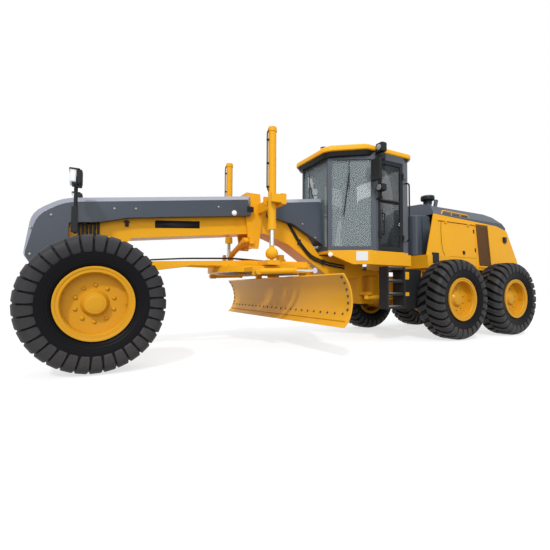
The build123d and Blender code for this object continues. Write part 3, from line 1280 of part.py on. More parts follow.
finish(hood.part, "hood")

crown = ((0, 290), (330, 262), (560, 180), (HOOD_TOP_HALF - 8, 0))  # half width, height over the sides
with BuildPart() as hood_top:
    half = tuple((y, HOOD_TOP_Z + rise) for y, rise in crown) + ((HOOD_TOP_HALF - 8, HOOD_TOP_Z - 200),)
    front_slab(half + tuple((-y, z) for y, z in reversed(half[1:])), ahead(-1560), ahead(720))
    side_slab(
        (
            (ahead(720), HOOD_TOP_Z + SEAT),
            (ahead(600), HOOD_TOP_Z + 290),
            (ahead(-500), HOOD_TOP_Z + 270),
            (ahead(-1200), HOOD_TOP_Z + 130),
            (ahead(-1500), HOOD_TOP_Z - 90),
            (ahead(-1490), HOOD_TOP_Z - 147 + SEAT),
            (ahead(-1150), HOOD_TOP_Z - 70 + SEAT),
            (ahead(740), HOOD_TOP_Z + SEAT),
        ),
        -800,
        800,
        Mode.INTERSECT,
    )
    # air intake with its cap, and the exhaust pipe behind it
    bar((ahead(400), 300, HOOD_TOP_Z + 200), (ahead(400), 300, HOOD_TOP_Z + 400), 75)
    bar((ahead(400), 300, HOOD_TOP_Z + 400), (ahead(400), 300, HOOD_TOP_Z + 445), 125)
    bar((ahead(200), 300, HOOD_TOP_Z + 200), (ahead(150), 300, HOOD_TOP_Z + 400), 38)
finish(hood_top.part, "hood_top")

with BuildPart() as hood_grilles:
    for side in (1, -1):
        hood_panel(
            side, GRILLE_REAR_X + SEAT, GRILLE_FRONT_X - SEAT, GRILLE_LOW_Z + SEAT, GRILLE_TOP_Z - SEAT, 4, 12
        )
    rear_panel(REAR_GRILLE_HALF - SEAT, REAR_GRILLE_LOW_Z + SEAT, REAR_GRILLE_TOP_Z - SEAT, 3, HOOD_WALL)
finish(hood_grilles.part, "hood_grilles")

SIDE_DOOR_GAP = 5.0
for side_name, side in SIDES:
    with BuildPart() as engine_door:
        hood_panel(
            side, DOOR_REAR_X + SIDE_DOOR_GAP, DOOR_FRONT_X - SIDE_DOOR_GAP,
            SIDE_DOOR_LOW_Z + SIDE_DOOR_GAP, SIDE_DOOR_TOP_Z - 20, 0, HOOD_WALL,
        )
        low_y, high_y = sorted((side * (SIDE_HINGE_Y - 16), side * (SIDE_HINGE_Y + 8)))
        hinge_y = side * SIDE_HINGE_Y
        for knuckle_x in SIDE_KNUCKLES_X:
            ends = ((knuckle_x, hinge_y, SIDE_HINGE_Z), (knuckle_x + 60, hinge_y, SIDE_HINGE_Z))
            bar(*ends, 11)
            block(knuckle_x, knuckle_x + 60, low_y, high_y, SIDE_DOOR_TOP_Z - 50, SIDE_HINGE_Z - 2)
            bar(*ends, SIDE_PIN_R + RUN, Mode.SUBTRACT)
    finish(engine_door.part, f"engine_door_{side_name}")

with BuildPart() as tank:
    plan_slab(
        mirrored(((ahead(940), 500), (ahead(1000), 420), (ahead(1000), 0.1)))[:2]
        + (
            (ahead(1000), -420),
            (ahead(940), -500),
            (ahead(760), -560),
            (ahead(640), -560),
            (ahead(640), 560),
            (ahead(760), 560),
        ),
        1450 + SEAT,
        HOOD_TOP_Z - 6,
    )
finish(tank.part, "tank")

with BuildPart() as engine:
    block(ahead(-850), ahead(330), -300, 300, 1060, 1900)
    for leg_x in (-700, 200):
        block(ahead(leg_x) - 50, ahead(leg_x) + 50, -380, 380, BEAM_TOP_Z + SEAT, 1070)
finish(engine.part, "engine")

with BuildPart() as steps:
    for side in (1, -1):
        low_y, high_y = sorted((side * 625, side * 835))
        block(BOX_REAR_X, BOX_FRONT_X, low_y, high_y, 520, 1165)
        for stile_x in (LADDER_REAR_X, LADDER_FRONT_X - 30):
            low_y, high_y = sorted((side * 780, side * 960))
            side_slab(
                ((stile_x, 520), (stile_x + 30, 520), (stile_x + 30, 1190), (stile_x, 1190)),
                low_y,
                high_y,
            )
        for rung in range(4):
            rung_z = 530 + rung * 205
            low_y, high_y = sorted((side * 790, side * 950))
            block(LADDER_REAR_X, LADDER_FRONT_X, low_y, high_y, rung_z, rung_z + 35)
        low_y, high_y = sorted((side * 785, side * 815))
        for tie_z in (600, 1050):
            block(BOX_FRONT_X - 10, LADDER_REAR_X + 10, low_y, high_y, tie_z, tie_z + 80)
finish(steps.part, "steps")
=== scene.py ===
"""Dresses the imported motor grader: paint, rubber, glass and the small pieces that its plain solids leave out.

Run as a script in Blender 4.5. Lengths are in metres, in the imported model's own frame: +X forward,
+Y to the driver's left, +Z up, with the floor at Z = 0.
"""

import bmesh
import bpy
import numpy as np
from bpy.props import FloatProperty, FloatVectorProperty, IntProperty, PointerProperty
from mathutils import Matrix, Vector


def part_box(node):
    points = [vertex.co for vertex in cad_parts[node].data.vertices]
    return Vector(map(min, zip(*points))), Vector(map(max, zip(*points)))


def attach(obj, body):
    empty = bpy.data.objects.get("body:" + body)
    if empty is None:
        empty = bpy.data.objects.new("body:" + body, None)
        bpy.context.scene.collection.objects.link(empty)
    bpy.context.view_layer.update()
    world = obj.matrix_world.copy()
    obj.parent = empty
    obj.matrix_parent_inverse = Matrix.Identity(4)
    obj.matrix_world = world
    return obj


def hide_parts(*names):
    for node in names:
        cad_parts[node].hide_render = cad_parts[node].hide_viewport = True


bl_info = {
    "name": "Motor Grader Dressing",
    "version": (1, 0, 0),
    "blender": (4, 5, 0),
    "location": "View3D > Sidebar > Grader",
    "description": "Paint, tyres, lamps, trim and stage for a motor grader",
    "category": "Object",
}

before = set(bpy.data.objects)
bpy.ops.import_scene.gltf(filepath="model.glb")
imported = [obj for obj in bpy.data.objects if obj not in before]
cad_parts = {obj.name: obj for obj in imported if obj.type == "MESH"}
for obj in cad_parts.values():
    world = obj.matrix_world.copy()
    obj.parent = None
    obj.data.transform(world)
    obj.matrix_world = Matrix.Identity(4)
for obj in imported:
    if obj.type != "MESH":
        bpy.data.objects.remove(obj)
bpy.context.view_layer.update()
SIDES = (("left", 1.0), ("right", -1.0))
WHEELS = ("front", "middle", "rear")
UP = (0, 0, 1)
SAME_POINT = 0.000002  # points of a made shape that are nearer than this are one
PACKED_SAME_POINT = 0.00002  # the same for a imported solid
FLAT_WITHIN = 1.0  # degrees by which faces of one flat may differ
SHARP_FROM = 35  # degrees from which an edge of a made shape is sharp
PLATE_EDGE_FROM = 25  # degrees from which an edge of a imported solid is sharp, and is rounded


# ---------------------------------------------------------------- shapes

def grid(points, wrap_u=False, wrap_v=False, flip=False):
    """A surface through a grid of points of shape (u, v, 3): one four-sided face for each cell."""
    count_u, count_v = points.shape[:2]
    u = np.arange(count_u if wrap_u else count_u - 1)
    v = np.arange(count_v if wrap_v else count_v - 1)
    u, v = np.meshgrid(u, v, indexing="ij")
    next_u, next_v = (u + 1) % count_u, (v + 1) % count_v
    corners = (u * count_v + v, next_u * count_v + v, next_u * count_v + next_v, u * count_v + next_v)
    faces = np.stack(corners, -1).reshape(-1, 4)
    return points.reshape(-1, 3), [faces[:, ::-1] if flip else faces]


def joined(*shapes):
    """Several shapes as one: the points in a row, and each shape's faces moved on by the points before it."""
    points, faces, count = [], [], 0
    for shape_points, shape_faces in shapes:
        points.append(shape_points)
        faces += [np.asarray(block) + count for block in shape_faces]
        count += len(shape_points)
    return np.concatenate(points), faces


def repeated(faces, count, step):
    """The faces of count like shapes, with step points to each shape."""
    shifts = (np.arange(count) * step)[:, None, None]
    return [(np.asarray(part)[None] + shifts).reshape(-1, np.asarray(part).shape[1]) for part in faces]


def copies(shape, offsets):
    """The same shape at each offset, worked out as one array."""
    points, faces = shape
    offsets = np.asarray(offsets, float).reshape(-1, 1, 3)
    return (points[None] + offsets).reshape(-1, 3), repeated(faces, len(offsets), len(points))


def axes_of(direction):
    """Two unit vectors square to a direction and to each other, so that the three are right-handed."""
    direction = np.asarray(direction, float) / np.linalg.norm(direction)
    helper = np.array((0.0, 0.0, 1.0)) if abs(direction[2]) < 0.9 else np.array((1.0, 0.0, 0.0))
    first = np.cross(helper, direction)
    first /= np.linalg.norm(first)
    return first, np.cross(direction, first), direction


def full_turn(count):
    """Angles once round, in equal steps."""
    return np.linspace(0, 2 * np.pi, count, endpoint=False)


def swept(section, origin, direction, segments):
    """Points of a section of (distance along the axis, radius), turned: radius times cosine and sine."""
    first, second, along = axes_of(direction)
    section = np.asarray(section, float)
    angle = full_turn(segments)[None, :, None]
    distance, radius = section[:, 0][:, None, None], section[:, 1][:, None, None]
    middle = np.asarray(origin, float) + distance * along
    return middle + radius * (np.cos(angle) * first + np.sin(angle) * second)


def turned(profile, origin, direction, segments=48):
    """A profile of (distance along the axis, radius) turned about an axis, closed by a flat at each end."""
    profile = np.asarray(profile, float)
    shape_points, faces = grid(swept(profile, origin, direction, segments), wrap_v=True, flip=True)
    caps = []
    if profile[0, 1] > 0:
        caps.append(np.arange(segments)[None, ::-1])
    if profile[-1, 1] > 0:
        caps.append(np.arange(segments)[None] + (len(profile) - 1) * segments)
    return shape_points, faces + caps


def rod(start, end, radius, segments=16, edge=None):
    """A round bar with its ends chamfered by edge."""
    start, end = np.asarray(start, float), np.asarray(end, float)
    length = np.linalg.norm(end - start)
    edge = min(radius * 0.25, length * 0.2) if edge is None else edge
    profile = ((0, radius - edge), (edge, radius), (length - edge, radius), (length, radius - edge))
    return turned(profile, start, end - start, segments)


def rounded_path(corners, radius, steps=6):
    """Straight runs with their corners rounded: between the runs, points of a quadratic Bezier curve."""
    corners = np.asarray(corners, float)
    before, corner, after = corners[:-2], corners[1:-1], corners[2:]
    to_before, to_after = before - corner, after - corner
    reach_before = np.linalg.norm(to_before, axis=1, keepdims=True)
    reach_after = np.linalg.norm(to_after, axis=1, keepdims=True)
    entry = corner + to_before / reach_before * np.minimum(radius, reach_before * 0.45)
    leave = corner + to_after / reach_after * np.minimum(radius, reach_after * 0.45)
    t = np.linspace(0, 1, steps)[None, :, None]
    bends = (1 - t) ** 2 * entry[:, None] + 2 * t * (1 - t) * corner[:, None] + t ** 2 * leave[:, None]
    return np.concatenate((corners[:1], bends.reshape(-1, 3), corners[-1:]))


def tube(path, radius, segments=10):
    """A tube along a path: at each point a circle in the plane square to the path's direction there."""
    path = np.asarray(path, float)
    along = np.gradient(path, axis=0)
    along /= np.linalg.norm(along, axis=1, keepdims=True)
    spread = np.abs(along).max(0)
    helper = np.eye(3)[int(np.argmin(spread))]
    first = np.cross(helper, along)
    first /= np.linalg.norm(first, axis=1, keepdims=True)
    second = np.cross(along, first)
    angle = full_turn(segments)[None, :, None]
    points = path[:, None] + radius * (np.cos(angle) * first[:, None] + np.sin(angle) * second[:, None])
    shape_points, faces = grid(points, wrap_v=True, flip=True)
    ends = [np.arange(segments)[None, ::-1], np.arange(segments)[None] + (len(path) - 1) * segments]
    return shape_points, faces + ends


def plate(outline, low, high, plane="xz"):
    """A flat plate: its outline at two depths along the third axis, with a face on each side and a rim."""
    outline = np.asarray(outline, float)
    order = {"xz": (0, 2, 1), "xy": (0, 1, 2), "yz": (1, 2, 0)}[plane]
    points = np.zeros((2, len(outline), 3))
    points[..., order[0]] = outline[:, 0]
    points[..., order[1]] = outline[:, 1]
    points[0, :, order[2]], points[1, :, order[2]] = low, high
    x, y = outline[:, 0], outline[:, 1]
    turn = np.sign((x * np.roll(y, -1) - np.roll(x, -1) * y).sum())
    turn *= -1 if plane == "xz" else 1
    shape_points, faces = grid(points, wrap_v=True, flip=turn > 0)
    ring = np.arange(len(outline))[None]
    ends = [ring, ring + len(outline)]
    ends[0 if turn > 0 else 1] = ends[0 if turn > 0 else 1][:, ::-1]
    return shape_points, faces + ends


def block(low, high):
    """A rectangular bar between two corners."""
    (x0, y0, z0), (x1, y1, z1) = low, high
    return plate(((x0, y0), (x1, y0), (x1, y1), (x0, y1)), z0, z1, "xy")


def rounded_box(middle, half, power=0.25, count=24):
    """A box with soft edges: a sphere whose cosines and sines are raised to a small power."""
    def soft(value):
        return np.sign(value) * np.abs(value) ** power

    u = np.linspace(-np.pi / 2, np.pi / 2, count)[:, None]
    v = np.linspace(-np.pi, np.pi, count * 2, endpoint=False)[None, :]
    points = np.stack((
        soft(np.cos(u)) * soft(np.cos(v)) * half[0],
        soft(np.cos(u)) * soft(np.sin(v)) * half[1],
        soft(np.sin(u)) * half[2] * np.ones_like(v),
    ), -1)
    return grid(points + np.asarray(middle, float), wrap_v=True)


def bolt(middle, direction, size):
    """A hexagon bolt head on a washer."""
    washer = ((0, size * 0.72), (size * 0.12, size * 0.72))
    head = ((size * 0.12, size * 0.5), (size * 0.42, size * 0.5), (size * 0.5, size * 0.42))
    return joined(turned(washer, middle, direction, 12), turned(head, middle, direction, 6))


def bolts(middles, direction, size):
    """Like bolts at several places."""
    return copies(bolt((0, 0, 0), direction, size), middles)


def reflected(shape):
    """The shape on the other side of the machine, with its faces turned back outwards."""
    points, faces = shape
    return points * np.array((1.0, -1.0, 1.0)), [np.asarray(part)[:, ::-1] for part in faces]


def on_side(shape, side):
    """The shape itself on the left, where side is 1, and its reflection on the right."""
    return shape if side > 0 else reflected(shape)


def both(shape):
    """A shape and its reflection."""
    return joined(shape, reflected(shape))


def round_edges(piece, width, degrees, segments=2):
    """Rounds the edges that turn by more than so many degrees."""
    edge = piece.modifiers.new("edges", "BEVEL")
    edge.width = width
    edge.segments = segments
    edge.limit_method = "ANGLE"
    edge.angle_limit = np.radians(degrees)
    edge.use_clamp_overlap = True
    return edge


def build(name, shape, material, body, bevel=0.0, bevel_from=40, smooth=True, closed=True):
    """Makes the piece: its mesh from arrays, its finish and the body it rides on.

    Its edges are rounded by bevel where they turn by more than bevel_from degrees. Where closed, points that
    fall together, as at a pole, become one.
    """
    points, faces = shape
    mesh = bpy.data.meshes.new(name)
    blocks = [np.asarray(b) for b in faces]
    sizes = np.concatenate([np.full(len(b), b.shape[1]) for b in blocks])
    loops = np.concatenate([b.reshape(-1) for b in blocks])
    mesh.vertices.add(len(points))
    mesh.vertices.foreach_set("co", np.ascontiguousarray(points, np.float32).reshape(-1))
    mesh.loops.add(len(loops))
    mesh.loops.foreach_set("vertex_index", loops.astype(np.int32))
    mesh.polygons.add(len(sizes))
    starts = np.concatenate(((0,), np.cumsum(sizes)[:-1]))
    mesh.polygons.foreach_set("loop_start", starts.astype(np.int32))
    mesh.update(calc_edges=True)
    mesh.validate()
    if closed:
        whole = bmesh.new()
        whole.from_mesh(mesh)
        bmesh.ops.remove_doubles(whole, verts=whole.verts, dist=SAME_POINT)
        whole.to_mesh(mesh)
        whole.free()
    piece = bpy.data.objects.new(name, mesh)
    bpy.context.scene.collection.objects.link(piece)
    mesh.materials.append(finish(material))
    if bevel:
        round_edges(piece, bevel, bevel_from)
    if smooth:
        mesh.shade_smooth()
        mesh.set_sharp_from_angle(angle=np.radians(SHARP_FROM))
    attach(piece, body)
    return piece


def softened(node, width, material, body, slot):
    """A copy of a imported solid, which it stands for: its flat faces are made whole and its edges rounded."""
    shape = bmesh.new()
    shape.from_mesh(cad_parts[node].data)
    bmesh.ops.remove_doubles(shape, verts=shape.verts, dist=PACKED_SAME_POINT)
    bmesh.ops.dissolve_limit(shape, angle_limit=np.radians(FLAT_WITHIN), verts=shape.verts, edges=shape.edges)
    mesh = bpy.data.meshes.new(f"{node}_rounded")
    shape.to_mesh(mesh)
    shape.free()
    piece = bpy.data.objects.new(f"{node}_rounded", mesh)
    bpy.context.scene.collection.objects.link(piece)
    mesh.materials.clear()
    mesh.materials.append(finish(material))
    mesh.polygons.foreach_set("material_index", np.zeros(len(mesh.polygons), np.int32))
    round_edges(piece, width, PLATE_EDGE_FROM).harden_normals = True
    mesh.shade_smooth()
    mesh.set_sharp_from_angle(angle=np.radians(PLATE_EDGE_FROM))
    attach(piece, body)
    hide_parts(node)
    return piece


# ---------------------------------------------------------------- finishes

def new_group(name, inputs, outputs):
    """A shader group with named sockets."""
    group = bpy.data.node_groups.new(name, "ShaderNodeTree")
    for label, kind, default in inputs:
        socket = group.interface.new_socket(label, in_out="INPUT", socket_type=kind)
        socket.default_value = default
    for label, kind in outputs:
        group.interface.new_socket(label, in_out="OUTPUT", socket_type=kind)
    return group, group.nodes.new("NodeGroupInput"), group.nodes.new("NodeGroupOutput")


def set_inputs(node, **values):
    """Sets a node's inputs; in a name, each word has a capital and _ stands for a space."""
    for name, value in values.items():
        node.inputs[name.replace("_", " ")].default_value = value


def weathering_group():
    """Dust and patchy gloss: two noises at different scales, and dust that thickens towards the ground."""
    group, inlet, outlet = new_group(
        "weathering",
        (
            ("Color", "NodeSocketColor", (1, 1, 1, 1)),
            ("Dust Color", "NodeSocketColor", (0.3, 0.24, 0.17, 1)),
            ("Dust", "NodeSocketFloat", 0.1),
            ("Dust Height", "NodeSocketFloat", 0.8),
            ("Variation", "NodeSocketFloat", 0.06),
            ("Roughness", "NodeSocketFloat", 0.35),
            ("Grain Scale", "NodeSocketFloat", 220.0),
        ),
        (("Color", "NodeSocketColor"), ("Roughness", "NodeSocketFloat"), ("Height", "NodeSocketFloat")),
    )
    nodes, links = group.nodes, group.links
    coords = nodes.new("ShaderNodeTexCoord")
    patches = nodes.new("ShaderNodeTexNoise")
    set_inputs(patches, Scale=1.7, Detail=6.0)
    specks = nodes.new("ShaderNodeTexNoise")
    set_inputs(specks, Scale=38.0, Detail=4.0)
    grain = nodes.new("ShaderNodeTexNoise")
    set_inputs(grain, Detail=2.0)
    for texture in (patches, specks, grain):
        links.new(coords.outputs["Object"], texture.inputs["Vector"])
    links.new(inlet.outputs["Grain Scale"], grain.inputs["Scale"])
    split = nodes.new("ShaderNodeSeparateXYZ")
    links.new(coords.outputs["Object"], split.inputs[0])
    low = nodes.new("ShaderNodeMapRange")
    set_inputs(low, To_Min=1.0, To_Max=0.0)
    links.new(split.outputs["Z"], low.inputs["Value"])
    links.new(inlet.outputs["Dust Height"], low.inputs["From Max"])

    def worked(kind, first, second):
        """What a Math node gives for two numbers or sockets."""
        node = nodes.new("ShaderNodeMath")
        node.operation = kind
        for index, value in enumerate((first, second)):
            if isinstance(value, float):
                node.inputs[index].default_value = value
            else:
                links.new(value, node.inputs[index])
        return node.outputs[0]

    spotted = worked("MULTIPLY", specks.outputs["Fac"], patches.outputs["Fac"])
    near_floor = worked("MULTIPLY", worked("ADD", low.outputs[0], 0.15), spotted)
    amount = worked("MULTIPLY", worked("MULTIPLY", near_floor, 3.6), inlet.outputs["Dust"])
    shade = worked("MULTIPLY", worked("SUBTRACT", patches.outputs["Fac"], 0.5), inlet.outputs["Variation"])
    tint = nodes.new("ShaderNodeHueSaturation")
    links.new(inlet.outputs["Color"], tint.inputs["Color"])
    links.new(worked("ADD", worked("MULTIPLY", shade, 4.0), 1.0), tint.inputs["Value"])
    mix = nodes.new("ShaderNodeMix")
    mix.data_type = "RGBA"
    links.new(amount, mix.inputs["Factor"])
    links.new(tint.outputs["Color"], mix.inputs["A"])
    links.new(inlet.outputs["Dust Color"], mix.inputs["B"])
    links.new(mix.outputs["Result"], outlet.inputs["Color"])
    rough = worked("ADD", inlet.outputs["Roughness"], worked("MULTIPLY", amount, 0.5))
    links.new(worked("ADD", rough, shade), outlet.inputs["Roughness"])
    links.new(grain.outputs["Fac"], outlet.inputs["Height"])
    return group


# name: colour setting, roughness, metallic, coat, dust, dust height, variation, grain scale, bump
FINISHES = {
    "yellow": ("yellow", 0.38, 0.0, 0.03, 0.045, 0.8, 0.03, 260.0, 0.01),
    "pale_yellow": ("pale_yellow", 0.36, 0.0, 0.15, 0.05, 1.0, 0.05, 260.0, 0.02),
    "grey": ("grey", 0.38, 0.0, 0.08, 0.03, 1.0, 0.04, 300.0, 0.01),
    "chamfer_highlight_grey": ("chamfer_highlight_grey", 0.34, 0.0, 0.2, 0.03, 1.0, 0.04, 300.0, 0.01),
    "black": ("black", 0.40, 0.0, 0.03, 0.03, 1.0, 0.05, 320.0, 0.02),
    "shaded_rim_yellow": ("shaded_rim_yellow", 0.36, 0.0, 0.08, 0.06, 0.9, 0.04, 260.0, 0.01),
    "rubber": ("rubber", 0.46, 0.0, 0.0, 0.010, 0.30, 0.05, 140.0, 0.05),
    "tread_highlight_and_dust": ("tread_highlight_and_dust", 0.55, 0.0, 0.0, 0.05, 1.0, 0.10, 140.0, 0.06),
    "soft_trim": ("soft_trim", 0.8, 0.0, 0.0, 0.03, 0.4, 0.06, 900.0, 0.05),
    "brown": ("brown", 0.7, 0.0, 0.0, 0.1, 1.0, 0.08, 200.0, 0.05),
    "steel": ("steel", 0.22, 1.0, 0.0, 0.02, 0.5, 0.03, 400.0, 0.01),
    "bolt_steel": ("bolt_steel", 0.4, 0.9, 0.0, 0.1, 1.0, 0.06, 300.0, 0.03),
    "bolt_hole_shade_steel": ("bolt_hole_shade_steel", 0.5, 0.6, 0.0, 0.05, 1.0, 0.06, 300.0, 0.03),
    "blank_plate": ("blank_plate", 0.45, 0.0, 0.1, 0.05, 1.0, 0.03, 200.0, 0.01),
    "mirror_face": ("mirror_face", 0.04, 1.0, 0.0, 0.0, 1.0, 0.0, 200.0, 0.0),
}
PLAIN_SHEEN = 0.32
SHEEN = {  # how strongly a finish mirrors, where it isn't PLAIN_SHEEN
    "rubber": 0.09, "tread_highlight_and_dust": 0.25, "black": 0.13, "yellow": 0.13, "shaded_rim_yellow": 0.13,
    "pale_yellow": 0.16, "soft_trim": 0.2,
}


def surface_finish(name):
    """A painted, rubber or metal finish on the weathering group."""
    color, rough, metallic, coat, dust, height, variation, scale, bump = FINISHES[name]
    material = bpy.data.materials.new(name)
    material.use_nodes = True
    nodes, links = material.node_tree.nodes, material.node_tree.links
    shader = nodes["Principled BSDF"]
    sheen = SHEEN.get(name, PLAIN_SHEEN)
    set_inputs(shader, Metallic=metallic, Coat_Weight=coat, Coat_Roughness=0.12, Specular_IOR_Level=sheen)
    group = nodes.new("ShaderNodeGroup")
    group.node_tree = bpy.data.node_groups.get("weathering") or weathering_group()
    paint = (*getattr(bpy.context.scene.grader_colours, color), 1.0)
    set_inputs(
        group, Color=paint, Dust=dust, Dust_Height=height, Variation=variation, Roughness=rough,
        Grain_Scale=scale,
    )
    links.new(group.outputs["Color"], shader.inputs["Base Color"])
    links.new(group.outputs["Roughness"], shader.inputs["Roughness"])
    if bump:
        relief = nodes.new("ShaderNodeBump")
        set_inputs(relief, Strength=min(1.0, bump * 4), Distance=0.001)
        links.new(group.outputs["Height"], relief.inputs["Height"])
        links.new(relief.outputs["Normal"], shader.inputs["Normal"])
    return material


CLEAR = {  # name: colour, alpha, roughness, strength of its own glow
    "pane": ((0.30, 0.37, 0.39), 0.32, 0.02, 0.0),
    "lamp_lens": ((0.85, 0.88, 0.9), 0.55, 0.06, 0.0),
    "door_pane": ((0.055, 0.068, 0.072), 0.60, 0.02, 0.0),
    "work_lens": ((0.30, 0.32, 0.34), 0.85, 0.10, 0.0),
    "lamp_bowl": ((0.9, 0.9, 0.92), 1.0, 0.12, 0.15),
    "white_lens": ((0.88, 0.88, 0.86), 1.0, 0.18, 0.05),
    "amber_lens": ((0.95, 0.33, 0.03), 1.0, 0.12, 0.12),
    "red_lens": ((0.55, 0.015, 0.012), 1.0, 0.12, 0.05),
}


def clear_finish(name):
    """Glass and lenses: a tinted, glossy surface, let through by its alpha, with faint streaks of dust."""
    color, alpha, rough, glow = CLEAR[name]
    material = bpy.data.materials.new(name)
    material.use_nodes = True
    nodes, links = material.node_tree.nodes, material.node_tree.links
    shader = nodes["Principled BSDF"]
    tint = (*color, 1.0)
    set_inputs(shader, Base_Color=tint, Alpha=alpha, IOR=1.5, Emission_Color=tint, Emission_Strength=glow)
    coords = nodes.new("ShaderNodeTexCoord")
    streaks = nodes.new("ShaderNodeTexNoise")
    set_inputs(streaks, Scale=9.0)
    links.new(coords.outputs["Object"], streaks.inputs["Vector"])
    amount = nodes.new("ShaderNodeMapRange")
    set_inputs(amount, To_Min=rough, To_Max=rough + 0.06)
    links.new(streaks.outputs["Fac"], amount.inputs["Value"])
    links.new(amount.outputs[0], shader.inputs["Roughness"])
    return material


def finish(name):
    """The named finish, made once."""
    known = bpy.data.materials.get(name)
    if known is None:
        known = clear_finish(name) if name in CLEAR else surface_finish(name)
    return known


# ---------------------------------------------------------------- settings

def colour(name, default, description):
    """A colour setting."""
    return FloatVectorProperty(
        name=name, description=description, default=default, size=3, min=0.0, max=1.0, subtype="COLOR"
    )


class GraderColours(bpy.types.PropertyGroup):
    """Colours of the machine's finishes."""

    yellow: colour("Yellow paint", (0.80, 0.375, 0.010), "Frame, hood and rims")
    pale_yellow: colour("Blade yellow", (0.76, 0.365, 0.016), "Moldboard")
    grey: colour("Grey paint", (0.050, 0.062, 0.082), "Covers, cab and hood top")
    # Painted highlight: a paler grey given to the covers' chamfer, where it catches the light.
    chamfer_highlight_grey: colour("Pale grey", (0.25, 0.26, 0.31), "Chamfered edge of the covers")
    black: colour("Black paint", (0.016, 0.017, 0.019), "Doors, lamps and steps")
    # Painted shade: the yellow paint darkened for the rims, which sit in the shade of the tyres.
    shaded_rim_yellow: colour("Rim yellow", (0.62, 0.290, 0.008), "Rims")
    rubber: colour("Rubber", (0.0035, 0.0035, 0.0045), "Sidewalls of the tyres")
    # Paler lugs: mostly a painted highlight of the lit lug faces, with some dust.
    tread_highlight_and_dust: colour("Tread rubber", (0.020, 0.020, 0.023), "Lugs, paler from wear")
    soft_trim: colour("Soft trim", (0.02, 0.021, 0.024), "Seat and console")
    brown: colour("Grille brown", (0.17, 0.075, 0.018), "Grilles of the hood")
    steel: colour("Rod steel", (0.66, 0.67, 0.69), "Piston rods")
    bolt_steel: colour("Bolt steel", (0.32, 0.31, 0.30), "Fasteners")
    # Painted shade: the cutting edge's bolt heads are dark to stand for the shade in their holes.
    bolt_hole_shade_steel: colour("Worn steel", (0.10, 0.085, 0.065), "Bolts of the cutting edge")
    blank_plate: colour("Blank plates", (0.72, 0.72, 0.70), "Plates with nothing on them")
    mirror_face: colour("Mirror face", (0.8, 0.82, 0.84), "Mirrors")


class GraderSizes(bpy.types.PropertyGroup):
    """Sizes of the added pieces."""

    lug_count: IntProperty(
        name="Front lugs", description="Lugs round a front tyre", default=33, min=12, max=60
    )
    drive_lug_count: IntProperty(
        name="Drive lugs", description="Lugs round a driven tyre", default=28, min=12, max=60
    )
    lug_depth: FloatProperty(
        name="Lug depth", description="How far the lugs stand out", default=0.030, min=0.0, max=0.06,
        unit="LENGTH",
    )
    stud_size: FloatProperty(
        name="Wheel nuts", description="Width of a wheel nut", default=0.030, min=0.01, max=0.06,
        unit="LENGTH",
    )


class PieceOperator(bpy.types.Operator):
    """Base of the operators that make pieces: an error in one stops the script."""

    bl_options = {"REGISTER", "UNDO"}

    def execute(self, context):
        """Makes the piece."""
        self.make(context.scene.grader_colours, context.scene.grader_sizes)
        return {"FINISHED"}


# ---------------------------------------------------------------- wheels

def wheel_place(node, side):
    """Centre, radius, half width and outward direction of a wheel, by its tyre's box; side 1 is the left."""
    low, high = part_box(node)
    return np.array((low + high) / 2), (high.z - low.z) / 2, (high.y - low.y) / 2, np.array((0.0, side, 0.0))


WIDEST_AT, BEAD_AT = 0.76, 0.540  # where a tyre is widest and where its bead is, as shares of its radius
BEAD_SEAT = 0.3205  # radius at which a tyre sits on its rim
NUT_COUNT, NUT_CIRCLE = 10, 0.178


def tyre_section(radius, half_width, lug_depth, side_lug=0.008):
    """Half of a carcass from bead to crown: sides that bulge, then a flattened arch (cosine, sine)."""
    half, middle = half_width - side_lug, radius * WIDEST_AT
    fall = np.linspace(1, 0, 46, endpoint=False)
    rise = np.linspace(0, np.pi / 2, 30)
    bead_across, bead_radius = half_width * 0.80, radius * BEAD_AT
    across = np.concatenate((half - (half - bead_across) * fall ** 2.4, half * np.cos(rise) ** 0.42))
    height = radius - lug_depth - middle
    out = np.concatenate((middle - (middle - bead_radius) * fall, middle + height * np.sin(rise) ** 0.75))
    for rib, size in ((0.585, 0.0035), (0.625, 0.0025), (0.75, 0.003)):
        across += size * np.exp(-(((out - radius * rib) / 0.005) ** 2)) * (across > half * 0.5)
    return across, out


